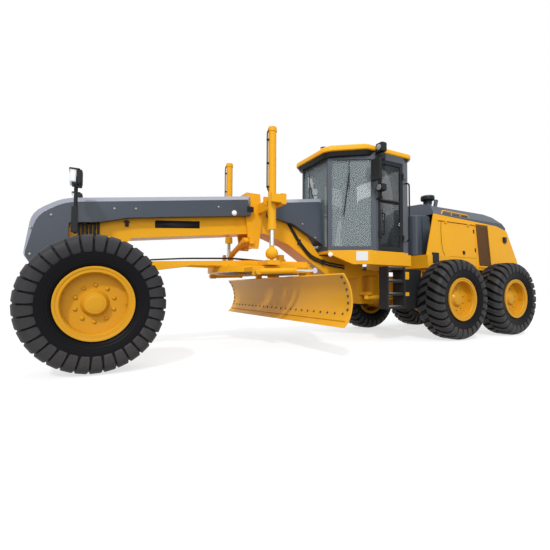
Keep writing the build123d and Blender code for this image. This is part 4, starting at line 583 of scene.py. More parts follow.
def tyre(centre, radius, half_width, outward, count, depth, turn, share):
    """The carcass turned about the axle, and lugs that run from each shoulder to the middle in a V.

    Gives the shape and the count of faces in the carcass, which come before the lugs'.
    """
    across, out = tyre_section(radius, half_width, depth)
    outer = np.stack((across, out), 1)
    inner = outer * (-1, 1)
    seat = np.array(((half_width * 0.78, BEAD_SEAT), (-half_width * 0.78, BEAD_SEAT)))
    section = np.concatenate((inner, outer[::-1][1:], seat))
    first, second, along = axes_of(outward)
    carcass = grid(swept(section, centre, outward, count * 4), wrap_u=True, wrap_v=True, flip=True)

    start, stop = 40, len(across) - 1
    picked = np.unique(np.linspace(start, stop, 15).astype(int))
    tangent = np.stack((np.gradient(across), np.gradient(out)), 1)
    tangent /= np.linalg.norm(tangent, axis=1, keepdims=True)
    tangent = tangent[picked]
    base_across, base_out = across[picked], out[picked]
    reach = np.linspace(0, 1, len(picked))
    height = np.interp(reach, (0, 0.18, 0.5, 1), (0.006, 0.014, depth * 0.96, depth))
    width = np.interp(reach, (0, 0.3, 0.75, 1), (0.80, 1.0, 0.95, 0.72)) * share * np.pi * radius / count
    offset = np.stack((-width - 0.006, -width, -width + 0.005, width - 0.005, width, width + 0.006), 1)
    foot = np.full_like(height, -0.012)
    lift = np.stack((foot, height - 0.005, height, height, height - 0.005, foot), 1)
    spot_across = base_across[:, None] + tangent[:, 1:2] * lift
    spot_out = base_out[:, None] - tangent[:, :1] * lift
    spot_out = np.minimum(spot_out, radius - 0.0005)
    sweep = turn * (1 - (base_across / base_across.max())[:, None] ** 1.3)
    turns = np.arange(count) * 2 * np.pi / count
    shapes = [carcass]
    ends = np.arange(6)[None]
    for sign, shift in ((1.0, 0.0), (-1.0, np.pi / count)):
        spin = turns[:, None, None] + shift + sweep[None] + (offset / 0.6)[None]
        lugs = centre + sign * spot_across[None, :, :, None] * along
        lugs = lugs + spot_out[None, :, :, None] * (
            np.cos(spin)[..., None] * first + np.sin(spin)[..., None] * second
        )
        one = grid(lugs[0], wrap_v=True, flip=sign < 0)[1]
        caps = [ends[:, ::-1], ends + 6 * (len(picked) - 1)]
        one += caps if sign > 0 else [cap[:, ::-1] for cap in caps]
        shapes.append((lugs.reshape(-1, 3), repeated(one, count, len(picked) * 6)))
    return joined(*shapes), len(carcass[1][0])


class GRADER_OT_tyres(PieceOperator):
    """Tyres with a V of lugs, one to each wheel"""

    bl_idname = "grader.tyres"
    bl_label = "Tyres"

    def make(self, colours, sizes):
        """One tyre to a wheel, in place of the plain one."""
        for wheel in WHEELS:
            for name, side in SIDES:
                centre, radius, half_width, outward = wheel_place(f"tyre_{wheel}_{name}", side)
                turn, share, count = 0.17, 0.64, sizes.drive_lug_count
                if wheel == "front":
                    turn, share, count = 0.05, 0.78, sizes.lug_count
                shape, plain = tyre(
                    centre, radius, half_width, outward, count, sizes.lug_depth, -turn * side, share
                )
                body = f"wheel_{wheel}_{name}"
                piece = build(f"lugged_tyre_{wheel}_{name}", shape, "rubber", body, closed=False)
                # The lugs take the paler tread finish: painted highlight of the lit lug faces, with some dust.
                piece.data.materials.append(finish("tread_highlight_and_dust"))
                lugs = np.arange(len(piece.data.polygons)) >= plain
                piece.data.polygons.foreach_set("material_index", lugs.astype(np.int32))
                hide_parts(f"tyre_{wheel}_{name}")


class GRADER_OT_rim_trim(PieceOperator):
    """Lock rings, hub caps and wheel nuts"""

    bl_idname = "grader.rim_trim"
    bl_label = "Rim trim"

    def make(self, colours, sizes):
        """A ring, a domed cap and ten nuts on each rim."""
        for wheel in WHEELS:
            disc, hub = (0.086, 0.165) if wheel == "front" else (0.066, 0.110)
            for name, side in SIDES:
                centre, _, _, outward = wheel_place(f"tyre_{wheel}_{name}", side)
                first, second, along = axes_of(outward)
                lock = ((0.150, 0.300), (0.158, 0.292), (0.170, 0.296), (0.176, 0.304), (0.170, 0.309))
                lip = ((0.190, 0.330), (0.197, 0.332), (0.201, 0.345), (0.199, 0.356), (0.190, 0.358))
                rings = [swept(section, centre, outward, 96) for section in (lock, lip)]
                rings = [grid(ring, wrap_u=True, wrap_v=True) for ring in rings]
                rise = np.linspace(0, np.pi / 2, 10)
                dome = np.stack((hub - 0.004 + 0.011 * np.sin(rise), 0.088 * np.cos(rise) ** 0.7), 1)
                cap = turned(dome, centre, outward, 48)
                step = ((hub - 0.02, 0.100), (hub - 0.006, 0.100), (hub - 0.004, 0.094))
                shape = joined(*rings, cap, turned(step, centre, outward, 48))
                body = f"wheel_{wheel}_{name}"
                # Rings, caps and nuts take the darker rim yellow, painted shade.
                build(f"rim_rings_{wheel}_{name}", shape, "shaded_rim_yellow", body)
                angle = (np.arange(NUT_COUNT) * 2 * np.pi / NUT_COUNT + 0.3)[:, None]
                spots = centre + along * disc + NUT_CIRCLE * (np.cos(angle) * first + np.sin(angle) * second)
                valve = rod(
                    centre + along * 0.10 + first * 0.272, centre + along * 0.15 + first * 0.268, 0.006, 10
                )
                nuts = joined(bolts(spots, outward, sizes.stud_size), valve)
                build(f"wheel_nuts_{wheel}_{name}", nuts, "shaded_rim_yellow", body, smooth=False)


# ---------------------------------------------------------------- cab

def closed_round(corners, radius, steps=5):
    """A closed outline with its corners rounded by quadratic Bezier curves."""
    corners = np.asarray(corners, float)
    before, after = np.roll(corners, 1, 0), np.roll(corners, -1, 0)
    entry = corners + (before - corners) / np.linalg.norm(before - corners, axis=1, keepdims=True) * radius
    leave = corners + (after - corners) / np.linalg.norm(after - corners, axis=1, keepdims=True) * radius
    t = np.linspace(0, 1, steps)[None, :, None]
    bends = (1 - t) ** 2 * entry[:, None] + 2 * t * (1 - t) * corners[:, None] + t ** 2 * leave[:, None]
    return bends.reshape(-1, 2)


BEACON_X = 0.305
SKIRT_BEND = (-0.030, 0.7805)  # where the skirt under the cab turns in, seen from above
ROOF_PLAN = (
    (-1.04, -0.68), (-0.95, -0.79), (0.02, -0.80), (0.54, -0.50), (0.61, -0.41),
    (0.61, 0.41), (0.54, 0.50), (0.02, 0.80), (-0.95, 0.79), (-1.04, 0.68),
)


def roof_rings(rings, base):
    """Rings of a roof, each (share of the plan, height), with its front falling in a smooth visor."""
    plan = closed_round(ROOF_PLAN, 0.035)
    middle = np.array((-0.14, 0.0))
    layers = []
    for share, height in rings:
        flat = middle + (plan - middle) * share
        ahead = np.clip((flat[:, 0] - 0.20) / 0.41, 0, 1.2)
        layers.append(np.column_stack((flat, base + height - 0.045 * ahead ** 1.4)))
    points, faces = grid(np.stack(layers), wrap_v=True, flip=True)
    ring = np.arange(len(plan))[None]
    return points, faces + [ring[:, ::-1], ring + len(plan) * (len(rings) - 1)]


class GRADER_OT_roof(PieceOperator):
    """Roof shell with its visor, and the dark eave under it"""

    bl_idname = "grader.roof"
    bl_label = "Roof"

    def make(self, colours, sizes):
        """A yellow shell over a dark tray."""
        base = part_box("cab_roof")[0].z
        shell = (
            (0.985, 0.000), (1.0, 0.012), (1.0, 0.062), (0.985, 0.082), (0.93, 0.104), (0.80, 0.122),
            (0.45, 0.130),
        )
        roof = build("roof_shell", roof_rings(shell, base), "yellow", "front")
        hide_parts("cab_roof")
        tray = ((0.86, -0.075), (0.93, -0.070), (0.970, -0.010), (0.965, 0.004))
        build("roof_eave", roof_rings(tray, base), "black", "front")


DOOR_SASH = ((-0.759, 1.458), (-0.211, 1.458), (-0.211, 2.942), (-0.759, 2.942))  # X, Z
DOOR_HOLE = ((-0.700, 1.530), (-0.262, 1.530), (-0.262, 2.885), (-0.700, 2.885))
SKIRT_TOP_Z, SKIRT_THICKNESS = 1.452, 0.030


class GRADER_OT_cab_trim(PieceOperator):
    """Handrails, door bars, handles, wipers, lamps and blank plates of the cab"""

    bl_idname = "grader.cab_trim"
    bl_label = "Cab trim"

    def make(self, colours, sizes):
        """Trim on both sides; what is on the doors rides on them."""
        rail = ((-0.86, 0.735, 2.64), (-0.86, 0.83, 2.62), (-0.86, 0.83, 1.66), (-0.86, 0.735, 1.64))
        build("cab_handrails", both(tube(rounded_path(rail, 0.05), 0.013)), "black", "front")
        for name, side in SIDES:
            body = f"cab_door_{name}"
            rings = ((DOOR_SASH, 0.746), (DOOR_SASH, 0.778), (DOOR_HOLE, 0.778), (DOOR_HOLE, 0.746))
            layers = [[(x, y, z) for x, z in ring] for ring, y in rings]
            leaf = grid(np.array(layers), wrap_u=True, wrap_v=True, flip=True)
            mid = block((-0.705, 0.750, 2.245), (-0.257, 0.776, 2.300))
            hinge = [rod((-0.764, 0.790, z), (-0.764, 0.790, z + 0.11), 0.014, 16) for z in (1.625, 2.675)]
            leaf = on_side(joined(leaf, mid, *hinge), side)
            leaf = build(f"door_leaf_{name}", leaf, "black", body, bevel=0.003)
            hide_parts(body)
            pane = on_side(block((-0.706, 0.760, 1.524), (-0.256, 0.765, 2.891)), side)
            build(f"door_glass_{name}", pane, "door_pane", body, smooth=False)
            bar = rod((-0.690, 0.787, 2.280), (-0.235, 0.787, 2.275), 0.014)
            grip = [(-0.300, y, z) for y, z in ((0.778, 1.72), (0.826, 1.72), (0.826, 2.06), (0.778, 2.06))]
            lock = rounded_box((-0.242, 0.788, 1.72), (0.030, 0.014, 0.055))
            trim = on_side(joined(bar, tube(rounded_path(grip, 0.03), 0.011), lock), side)
            build(f"door_trim_{name}", trim, "black", body)
        post = ((-0.185, 0.765, 3.02), (-0.185, 0.87, 3.02), (-0.185, 0.87, 2.30), (-0.185, 0.775, 2.28))
        stack = [
            tube(rounded_path(post, 0.04), 0.014),
            rounded_box((-0.165, 0.90, 3.075), (0.055, 0.075, 0.075)),
            rounded_box((-0.165, 0.895, 2.925), (0.045, 0.065, 0.055)),
            rounded_box((-0.165, 0.90, 2.435), (0.050, 0.070, 0.055)),
        ]
        build("lamp_stack", both(joined(*stack)), "black", "front")
        lens = ((0, 0.048), (0.008, 0.046), (0.014, 0.034), (0.016, 0.0))
        lenses = [turned(lens, (-0.110, 0.90, z), (1, 0, 0), 32) for z in (3.075, 2.435)]
        build("lamp_stack_lenses", both(joined(*lenses)), "work_lens", "front")
        mirror = rounded_box((-0.0395, 0.951, 2.69), (0.0025, 0.078, 0.155), 0.15)
        build("mirror_faces", both(mirror), "mirror_face", "front")
        wipers = []
        arms = (((0.515, 0.12, 2.02), (0.515, -0.12, 2.68)), ((0.30, 0.545, 2.02), (0.23, 0.60, 2.72)))
        for start, end in arms:
            wipers.append(rod(start, end, 0.008, 10))
            wipers.append(rod(np.add(end, (0.004, 0, -0.28)), np.add(end, (0.004, 0, 0.16)), 0.006, 10))
        build("wipers", joined(*wipers), "black", "front")
        shade = ((0.0, 0.062), (0.004, 0.066), (0.020, 0.066), (0.024, 0.058))
        foot = turned(shade, (BEACON_X, 0.0, 3.188), UP, 40)
        build("beacon_foot", foot, "black", "front")
        rise = np.linspace(0, np.pi / 2, 9)
        dome = np.stack((0.058 + 0.028 * np.sin(rise), 0.0565 * np.cos(rise)), 1)
        dome = np.concatenate((((0.0, 0.0565),), dome))
        build("beacon_dome", turned(dome, (BEACON_X, 0.0, 3.213), UP, 40), "amber_lens", "front")
        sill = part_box("cab_floor")[0].z
        stations = np.array((
            (-0.120, 0.7805, sill), (*SKIRT_BEND, sill), (0.190, 0.634, sill), (0.498, 0.3925, 1.402),
        ))
        wide = np.array((0.0, SKIRT_THICKNESS, 0.0))
        tops = stations * (1, 1, 0) + (0, 0, SKIRT_TOP_Z)
        edges = np.stack((stations, tops, tops - wide, stations - wide), 1)
        skirt, faces = grid(edges, wrap_v=True, flip=True)
        end = np.arange(4)[None]
        skirt = skirt, faces + [end[:, ::-1], end + 12]
        build("cab_skirts", both(skirt), "yellow", "front", bevel=0.006)
        along = np.array((0.220, -0.1465, 0.0))
        along /= np.linalg.norm(along)
        turn = np.column_stack((along, (-along[1], along[0], 0.0), (0.0, 0.0, 1.0)))
        plate_points, plate_faces = rounded_box((0.125, 0.001, 1.358), (0.092, 0.003, 0.074), 0.12)
        plate_points = plate_points @ turn.T + (*SKIRT_BEND, 0.0)
        build("cab_plate", (plate_points, plate_faces), "blank_plate", "front")
        lens = ((0.0, 0.038), (0.012, 0.038), (0.022, 0.031), (0.030, 0.016), (0.032, 0.0))
        places = (((2.065, 0.269, 1.914), (0, 1, 0)), ((0.47, 0.41, 1.385), (0.45, 0.9, 0)))
        lamps = [turned(lens, place, facing, 32) for place, facing in places]
        build("side_lamps", both(joined(*lamps)), "white_lens", "front")


class GRADER_OT_seat(PieceOperator):
    """Seat cushions and steering wheel"""

    bl_idname = "grader.seat"
    bl_label = "Seat"

    def make(self, colours, sizes):
        """A crowned seat pad, a back pad that leans, and a wheel with three spokes."""
        seat_x, seat_half = -0.525, (0.285, 0.275, 0.088)
        seat_points, seat_faces = rounded_box((seat_x, 0.0, 1.842), seat_half, 0.22, 36)
        across = (seat_points[:, 0] - seat_x) / seat_half[0]
        along = seat_points[:, 1] / seat_half[1]
        crown = np.clip(1 - across ** 2, 0, 1) * np.clip(1 - along ** 2, 0, 1)
        seam = 0.008 * np.exp(-((np.abs(along) - 0.55) / 0.05) ** 2)
        top = seat_points[:, 2] > 1.87
        seat_points[:, 2] += np.where(top, 0.022 * crown - seam, 0.0)
        seat = build("seat_pad", (seat_points, seat_faces), "soft_trim", "front")
        back_half = (0.105, 0.272, 0.36)
        back_points, back_faces = rounded_box((0.0, 0.0, 0.0), back_half, 0.24, 36)
        across, along = back_points[:, 1] / back_half[1], back_points[:, 2] / back_half[2]
        crown = np.clip(1 - across ** 2, 0, 1) * np.clip(1 - along ** 2, 0, 1)
        channel = 0.009 * np.exp(-((np.abs(back_points[:, 2]) - 0.13) / 0.016) ** 2)
        back_points[:, 0] += np.where(back_points[:, 0] > 0.05, 0.02 * crown - channel, 0.0)
        back_points = back_points + (-0.735, 0.0, 2.195) + np.outer(back_points[:, 2], (-0.10, 0, 0))
        back = build("back_pad", (back_points, back_faces), "soft_trim", "front")
        turn = full_turn(64)[:, None]
        tilt, first = np.array((-0.42, 0.0, 0.91)), np.array((0.0, 1.0, 0.0))
        second = np.cross(tilt, first)
        middle = np.array((0.045, 0.0, 2.19))
        small = full_turn(12)[None, :, None]
        radial = np.cos(turn) * first + np.sin(turn) * second
        rim = middle + radial[:, None] * (0.205 + 0.016 * np.cos(small)) + 0.016 * np.sin(small) * tilt
        spokes = [
            rod(middle, middle + 0.2 * (np.cos(a) * first + np.sin(a) * second), 0.011, 10)
            for a in (0.5, 2.64, 4.71)
        ]
        wheel = joined(grid(rim, wrap_u=True, wrap_v=True, flip=True), *spokes)
        build("steering_wheel", wheel, "soft_trim", "front")
        levers = []
        for y in (-0.26, -0.22, -0.18, 0.18, 0.22, 0.26):
            levers.append(rod((-0.02, y, 1.95), (-0.06, y, 2.16), 0.006, 8))
            levers.append(rounded_box((-0.062, y, 2.18), (0.016, 0.014, 0.026), 0.8, 8))
        build("levers", joined(*levers), "soft_trim", "front")


# ---------------------------------------------------------------- hood

HOOD_HALF, HOOD_LOW_Z, HOOD_LEAN = 0.78, 1.215, 0.08  # half width at its low edge, and how much it leans in
HOOD_REAR_X, HOOD_BEND_Z, HOOD_REAR_LEAN = -4.145, 1.420, 0.28 / 0.645
HOOD_BAR = 0.009  # radius of the tubes round the grilles


def hood_side(z):
    """Half width of the hood at a height: its sides lean in."""
    return HOOD_HALF - HOOD_LEAN * (np.asarray(z, float) - HOOD_LOW_Z)


def hood_rear(z):
    """X of the hood's rear at a height: above its bend the wall leans forward."""
    return HOOD_REAR_X + HOOD_REAR_LEAN * (np.asarray(z, float) - HOOD_BEND_Z)


def on_hood(x, z, proud=0.0):
    """A point on the hood's left side, or proud of it."""
    return x, float(hood_side(z)) + proud, z


class GRADER_OT_hood_trim(PieceOperator):
    """Grille slats, seams, latches, rails, air cleaner and rear lamps of the hood"""

    bl_idname = "grader.hood_trim"
    bl_label = "Hood trim"

    def make(self, colours, sizes):
        """Slats lie on the grilles; the rest lies on the hood's sides and top."""
        heights = np.arange(1.315, 2.10, 0.0165)
        side_slats = [
            block(on_hood(-3.205, z, -0.002), (-2.825, float(hood_side(z)) + 0.003, z + 0.007))
            for z in heights
        ]
        rear_slats = [
            block((float(hood_rear(z)) - 0.003, -0.552, z), (float(hood_rear(z)) + 0.008, 0.552, z + 0.008))
            for z in np.arange(1.494, 1.985, 0.0195)
        ]
        slats = joined(both(joined(*side_slats)), *rear_slats)
        build("grille_slats", slats, "brown", "rear", smooth=False)
        paths = [[on_hood(x, z, 0.003) for z in (1.27, 1.70, 2.135)] for x in (-3.222, -2.808)]
        paths += [[on_hood(x, z, 0.003) for x in (-3.225, -3.0, -2.805)] for z in (1.272, 2.133)]
        for start, end in (  # Z, Y
            ((1.478, 0.0), (1.478, 0.566)), ((2.002, 0.0), (2.002, 0.566)), ((1.478, 0.563), (2.002, 0.563)),
        ):
            z, y = np.linspace(start, end, 3).T
            paths.append(np.column_stack((hood_rear(z) - 0.001, y, z)))
        frame_bars = [tube(path, HOOD_BAR, 8) for path in paths]
        rail = ((-1.86, 0.672, 2.20), (-1.90, 0.672, 2.305), (-2.66, 0.665, 2.285), (-2.70, 0.665, 2.17))
        rail = tube(rounded_path(rail, 0.05), 0.013)
        feet = [rod((x, 0.668, 2.15), (x, 0.668, 2.30), 0.010, 10) for x in (-2.16, -2.42)]
        build("hood_rails", both(joined(rail, *frame_bars, *feet)), "yellow", "rear")
        for name, side in SIDES:
            swoop = np.array((
                (-1.800, 2.085), (-1.775, 1.95), (-1.765, 1.80),
                (-1.768, 1.65), (-1.785, 1.52), (-1.825, 1.46),
            ))
            grip = np.column_stack((swoop[:, 0] - 0.012, hood_side(swoop[:, 1]) + 0.001, swoop[:, 1]))
            latch = rounded_box(on_hood(-2.386, 1.535, 0.004), (0.030, 0.010, 0.034))
            hinges = [rounded_box(on_hood(-2.745, z, 0.003), (0.012, 0.008, 0.040)) for z in (1.60, 1.97)]
            trim = on_side(joined(tube(grip, 0.0045, 8), latch, *hinges), side)
            build(f"engine_door_trim_{name}", trim, "black", f"engine_door_{name}")
        dark = [
            rounded_box(on_hood(-1.575, 1.40, 0.002), (0.085, 0.012, 0.095), 0.12),
            rounded_box(on_hood(-3.74, 1.87, 0.015), (0.045, 0.022, 0.060)),
        ]
        build("hood_boxes", both(joined(*dark)), "black", "rear")
        red = rounded_box(on_hood(-3.789, 1.87, 0.015), (0.006, 0.018, 0.045))
        build("rear_lenses", both(red), "red_lens", "rear")
        bowl = (
            (0, 0.079), (0.02, 0.082), (0.05, 0.080), (0.06, 0.100), (0.075, 0.127), (0.125, 0.1275),
            (0.140, 0.118), (0.152, 0.060), (0.155, 0.0),
        )
        fin = ((0, 0.129), (0.003, 0.1305), (0.006, 0.129))
        cap = [turned(bowl, (-1.965, 0.3, 2.507), UP, 48)]
        cap += [turned(fin, (-1.965, 0.3, z), UP, 48) for z in (2.595, 2.612, 2.629)]
        build("air_cleaner_cap", joined(*cap), "black", "rear")
        ribs = [block((-1.50 - 0.028 * n, 0.560, 1.50), (-1.512 - 0.028 * n, 0.572, 2.18)) for n in range(7)]
        build("column_ribs", both(joined(*ribs)), "grey", "rear", smooth=False)


# ---------------------------------------------------------------- front and blade

COVER_CHAMFER, COVER_HALF = 0.062, 0.27
LIFT_X, LIFT_Y = 1.735, 0.81  # axis of the left lift cylinder
CIRCLE_X, TEETH = 1.545, 90


def chamfered(corners, half, width):
    """A cover seen from the side: its rounded outline over most of its width, and narrower at its two sides.

    At a side, each corner moves inwards by its share of the chamfer, square to the runs on each hand of it.
    """
    corners = np.asarray(corners, float)
    flat, share, radius = corners[:, :2], corners[:, 2], corners[:, 3]
    ahead = np.roll(flat, -1, 0) - flat
    ahead /= np.linalg.norm(ahead, axis=1, keepdims=True)
    inward = np.column_stack((-ahead[:, 1], ahead[:, 0]))
    after = np.roll(flat, -1, 0)
    turn = np.sign((flat[:, 0] * after[:, 1] - flat[:, 1] * after[:, 0]).sum())
    inward *= turn
    meeting = inward + np.roll(inward, 1, 0)
    meeting /= (meeting * inward).sum(1, keepdims=True)
    narrow = flat + meeting * (share * width)[:, None]
    rings = [closed_round(shape, radius[:, None]) for shape in (narrow, flat, flat, narrow)]
    depths = (-half, width - half, half - width, half)
    layers = [
        np.column_stack((ring[:, 0], np.full(len(ring), y), ring[:, 1])) for ring, y in zip(rings, depths)
    ]
    points, faces = grid(np.stack(layers), wrap_v=True, flip=turn <= 0)
    ring = np.arange(len(rings[0]))[None]
    ends = [ring, ring + 3 * len(rings[0])]
    back = 1 if turn > 0 else 0
    ends[back] = ends[back][:, ::-1]
    return points, faces + ends


class GRADER_OT_front_trim(PieceOperator):
    """Headlamp bezels and lenses, cover bolts, pipes and the blank strip along the boom"""

    bl_idname = "grader.front_trim"
    bl_label = "Front trim"

    def make(self, colours, sizes):
        """Everything rides on the front frame."""
        bezel = joined(
            rounded_box((4.028, 0.55, 2.040), (0.034, 0.099, 0.083), 0.16),
            rounded_box((4.070, 0.55, 2.125), (0.055, 0.100, 0.008), 0.2),
            *(block((3.990, 0.48 + 0.02 * n, 1.98), (4.006, 0.484 + 0.02 * n, 2.10)) for n in range(8)),
        )
        bracket = ((4.05, 0.452, 2.04), (4.05, 0.446, 1.945), (4.05, 0.654, 1.945), (4.05, 0.648, 2.04))
        bracket = tube(rounded_path(bracket, 0.02), 0.007)
        sleeve = joined(
            block((4.028, 0.515, 1.44), (4.094, 0.585, 1.72)),
            rod((4.055, 0.50, 1.452), (4.055, 0.60, 1.452), 0.030, 16),
        )
        housing = joined(bezel, bracket, sleeve)
        build("headlamp_housings", both(housing), "black", "front", bevel=0.003)
        bowl = rounded_box((4.082, 0.552, 2.045), (0.028, 0.092, 0.066), 0.2)
        build("headlamp_bowls", both(bowl), "lamp_bowl", "front")
        lens = rounded_box((4.084, 0.553, 2.045), (0.036, 0.100, 0.074), 0.2)
        build("headlamp_lenses", both(lens), "lamp_lens", "front")
        spots = (  # X, Z
            (3.638, 1.804), (3.391, 1.830), (4.30, 1.66), (4.493, 1.50), (4.493, 1.20), (2.30, 1.975),
            (0.906, 1.863), (0.66, 1.66),
        )
        heads = bolts([(x, COVER_HALF, z) for x, z in spots], (0, 1, 0), 0.022)
        build("cover_bolts", both(heads), "bolt_steel", "front", smooth=False)
        pipes = []
        for x in np.linspace(3.81, 4.06, 7):
            line = ((x, 0.185, 1.30), (x, 0.194, 1.47), (x, 0.194, 1.62), (x - 0.02, 0.16, 1.70))
            pipes.append(tube(rounded_path(line, 0.03), 0.015))
        neck = []
        for drop in (0.0, 0.042):
            line = (
                (1.12, 0.176, 1.90 - drop), (0.92, 0.190, 1.60 - drop), (0.70, 0.196, 1.37 - drop),
                (0.40, 0.196, 1.28 - drop), (0.02, 0.196, 1.23 - drop),
            )
            neck.append(tube(rounded_path(line, 0.12, 8), 0.014))
        clamps = [rounded_box((x, 0.186, z), (0.022, 0.030, 0.045)) for x, z in ((0.92, 1.58), (0.46, 1.278))]
        nose = (  # X, Z, how far the side's edge stands back from the corner, radius
            (4.475, 1.07, 0.0, 0.03), (4.565, 1.20, 0.3, 0.04), (4.495, 1.69, 1.0, 0.13),
            (4.195, 1.885, 1.0, 0.13), (1.79, 2.208, 1.0, 0.02), (1.79, 1.905, 0.0, 0.02),
            (3.465, 1.712, 0.0, 0.06), (3.815, 1.622, 0.0, 0.06), (4.125, 1.59, 0.0, 0.02),
            (4.125, 1.07, 0.0, 0.02),
        )
        rear = (
            (1.505, 2.19, 1.0, 0.02), (0.50, 2.33, 1.0, 0.03), (0.50, 1.55, 0.0, 0.02),
            (1.085, 1.85, 0.0, 0.05), (1.505, 1.93, 0.0, 0.02),
        )
        covers = joined(*(chamfered(corners, COVER_HALF, COVER_CHAMFER) for corners in (nose, rear)))
        covers = build("bevelled_covers", covers, "grey", "front", bevel=0.004, bevel_from=25)
        # The slanted chamfer faces take the paler grey, a painted highlight.
        covers.data.materials.append(finish("chamfer_highlight_grey"))
        facing = np.empty(len(covers.data.polygons) * 3)
        covers.data.polygons.foreach_get("normal", facing)
        chamfer_highlight_faces = np.abs(facing[1::3])
        chamfer_highlight_faces = (chamfer_highlight_faces > 0.3) & (chamfer_highlight_faces < 0.9)
        covers.data.polygons.foreach_set("material_index", chamfer_highlight_faces.astype(np.int32))
        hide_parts("frame_covers")
        bracket = rounded_box((3.485, 0.178, 1.650), (0.022, 0.016, 0.040))
        pin = rod((3.45, 0.18, 1.672), (3.52, 0.18, 1.672), 0.009)
        mouth = rounded_box((1.812, 0.2705, 1.995), (0.052, 0.006, 0.042), 0.2)
        pipes = joined(*pipes, *neck, *clamps, bracket, pin, mouth)
        build("boom_pipes", both(pipes), "black", "front")
        strip = plate(((2.54, 1.668), (3.14, 1.624), (3.14, 1.724), (2.54, 1.768)), 0.1695, 0.1725)
        build("boom_strips", both(strip), "black", "front", smooth=False)


class GRADER_OT_lift_trim(PieceOperator):
    """Pipes, glands and clamps of the lift cylinders"""

    bl_idname = "grader.lift_trim"
    bl_label = "Lift cylinder trim"

    def make(self, colours, sizes):
        """A pipe up the front of each tube, with a head and three clamps."""
        line = ((1.79, LIFT_Y, 2.98), (1.812, LIFT_Y, 2.94), (1.812, LIFT_Y, 2.19), (1.79, LIFT_Y, 2.14))
        pipe = tube(rounded_path(line, 0.03), 0.009)
        clamps = [rounded_box((1.800, LIFT_Y, z), (0.018, 0.018, 0.010)) for z in (2.20, 2.52, 2.84)]
        build("lift_pipes", both(joined(pipe, *clamps)), "black", "lift_barrels")
        rise = np.linspace(-0.9, np.pi / 2 - 0.42, 14)
        bell = np.stack((0.0855 * np.sin(rise), 0.0855 * np.cos(rise)), 1)
        bell = np.concatenate((bell, ((0.086, 0.034), (0.110, 0.034), (0.112, 0.030))))
        bell = turned(bell, (LIFT_X, LIFT_Y, 1.300), UP, 40)
        build("lift_bells", both(bell), "yellow", "lift_rods")
        head = ((0, 0.056), (0.004, 0.062), (0.050, 0.062), (0.054, 0.056))
        heads = [turned(head, (LIFT_X, LIFT_Y, z), UP, 40) for z in (1.622, 2.955)]
        build("lift_heads", both(joined(*heads)), "yellow", "lift_barrels")


BLADE_MIDDLE = np.array((1.690, 0.0, 0.681))
BLADE_R = 0.46


def on_blade(angle, y, proud=0.0):
    """A point on the moldboard's hollow face at an angle above the horizontal, in degrees."""
    turn = np.radians(angle)
    radius = BLADE_R - proud
    return BLADE_MIDDLE + np.stack((-radius * np.cos(turn), y + 0 * turn, radius * np.sin(turn)), -1)


def off_blade(angle):
    """The direction away from the moldboard's hollow face at an angle above the horizontal, in degrees."""
    return np.cos(np.radians(angle)), 0, -np.sin(np.radians(angle))


class GRADER_OT_blade_trim(PieceOperator):
    """Cutting edge and bolts of the moldboard"""

    bl_idname = "grader.blade_trim"
    bl_label = "Blade trim"

    def make(self, colours, sizes):
        """The cutting edge along the low edge, painted like the moldboard, in three lengths, and bolts along it
        and up each end.
        """
        pieces = []
        angle = np.linspace(-30.0, -16.0, 8)
        for start, end in ((-1.80, -0.607), (-0.603, 0.603), (0.607, 1.80)):
            y = np.linspace(start, end, 12)
            turn, across = np.meshgrid(angle, y, indexing="ij")
            face, back = on_blade(turn, across, 0.014), on_blade(turn, across, 0.001)
            ring = np.concatenate((face, back[::-1]))
            points, faces = grid(ring, wrap_u=True)
            near = np.arange(16)[None] * 12
            pieces.append((points, faces + [near[:, ::-1], near + 11]))
        build("cutting_edges", joined(*pieces), "pale_yellow", "moldboard")
        spots = on_blade(np.full(24, -19.0), np.linspace(-1.72, 1.72, 24), 0.014)
        row = bolts(spots, off_blade(-19.0), 0.022)
        ends = [
            bolt(on_blade(np.array(value), side * 1.775, 0.001), off_blade(value), 0.024)
            for value in (-12.0, -2.0, 8.0, 18.0, 28.0, 38.0) for side in (1, -1)
        ]
        # The bolt heads take a dark finish, painted shade of the bolt holes.
        build("edge_bolts", joined(row, *ends), "bolt_hole_shade_steel", "moldboard", smooth=False)


class GRADER_OT_circle_trim(PieceOperator):
    """Teeth inside the circle, its slew motor and the pipes on the drawbar"""

    bl_idname = "grader.circle_trim"
    bl_label = "Circle trim"

    def make(self, colours, sizes):
        """Teeth ride on the circle; the motor and pipes on the drawbar."""
        angle = np.arange(TEETH) * 2 * np.pi / TEETH
        tooth = ((-0.013, 0.642), (-0.006, 0.622), (0.006, 0.622), (0.013, 0.642))
        layers = []
        for z in (1.066, 1.134):
            corners = [
                np.stack((CIRCLE_X + r * np.cos(angle + a / r), r * np.sin(angle + a / r), z + 0 * angle), -1)
                for a, r in tooth
            ]
            layers.append(np.stack(corners, 1))
        points = np.stack(layers, 1).reshape(-1, 3)
        cell = np.array(((0, 4, 5, 1), (1, 5, 6, 2), (2, 6, 7, 3), (3, 7, 4, 0), (0, 1, 2, 3), (4, 7, 6, 5)))
        teeth = points, repeated([cell[:, ::-1]], TEETH, 8)
        build("circle_teeth", teeth, "bolt_steel", "circle", smooth=False)
        motor = (
            (0, 0.105), (0.02, 0.112), (0.07, 0.112), (0.08, 0.090), (0.15, 0.086), (0.16, 0.064),
            (0.225, 0.060), (0.232, 0.0),
        )
        motor = turned(motor, (1.16, 0.0, 1.150), UP, 40)
        build("slew_motor", motor, "yellow", "drawbar")
        pipes = []
        for y in (-0.035, 0.0, 0.035):
            line = (
                (1.20, y, 1.262), (1.50, y * 2.2, 1.262), (2.10, 0.30 + y, 1.258),
                (2.75, 0.20 + y * 0.6, 1.236), (3.18, 0.11 + y * 0.4, 1.205),
            )
            pipes.append(tube(rounded_path(line, 0.12, 6), 0.010))
        build("drawbar_pipes", joined(*pipes), "black", "drawbar")


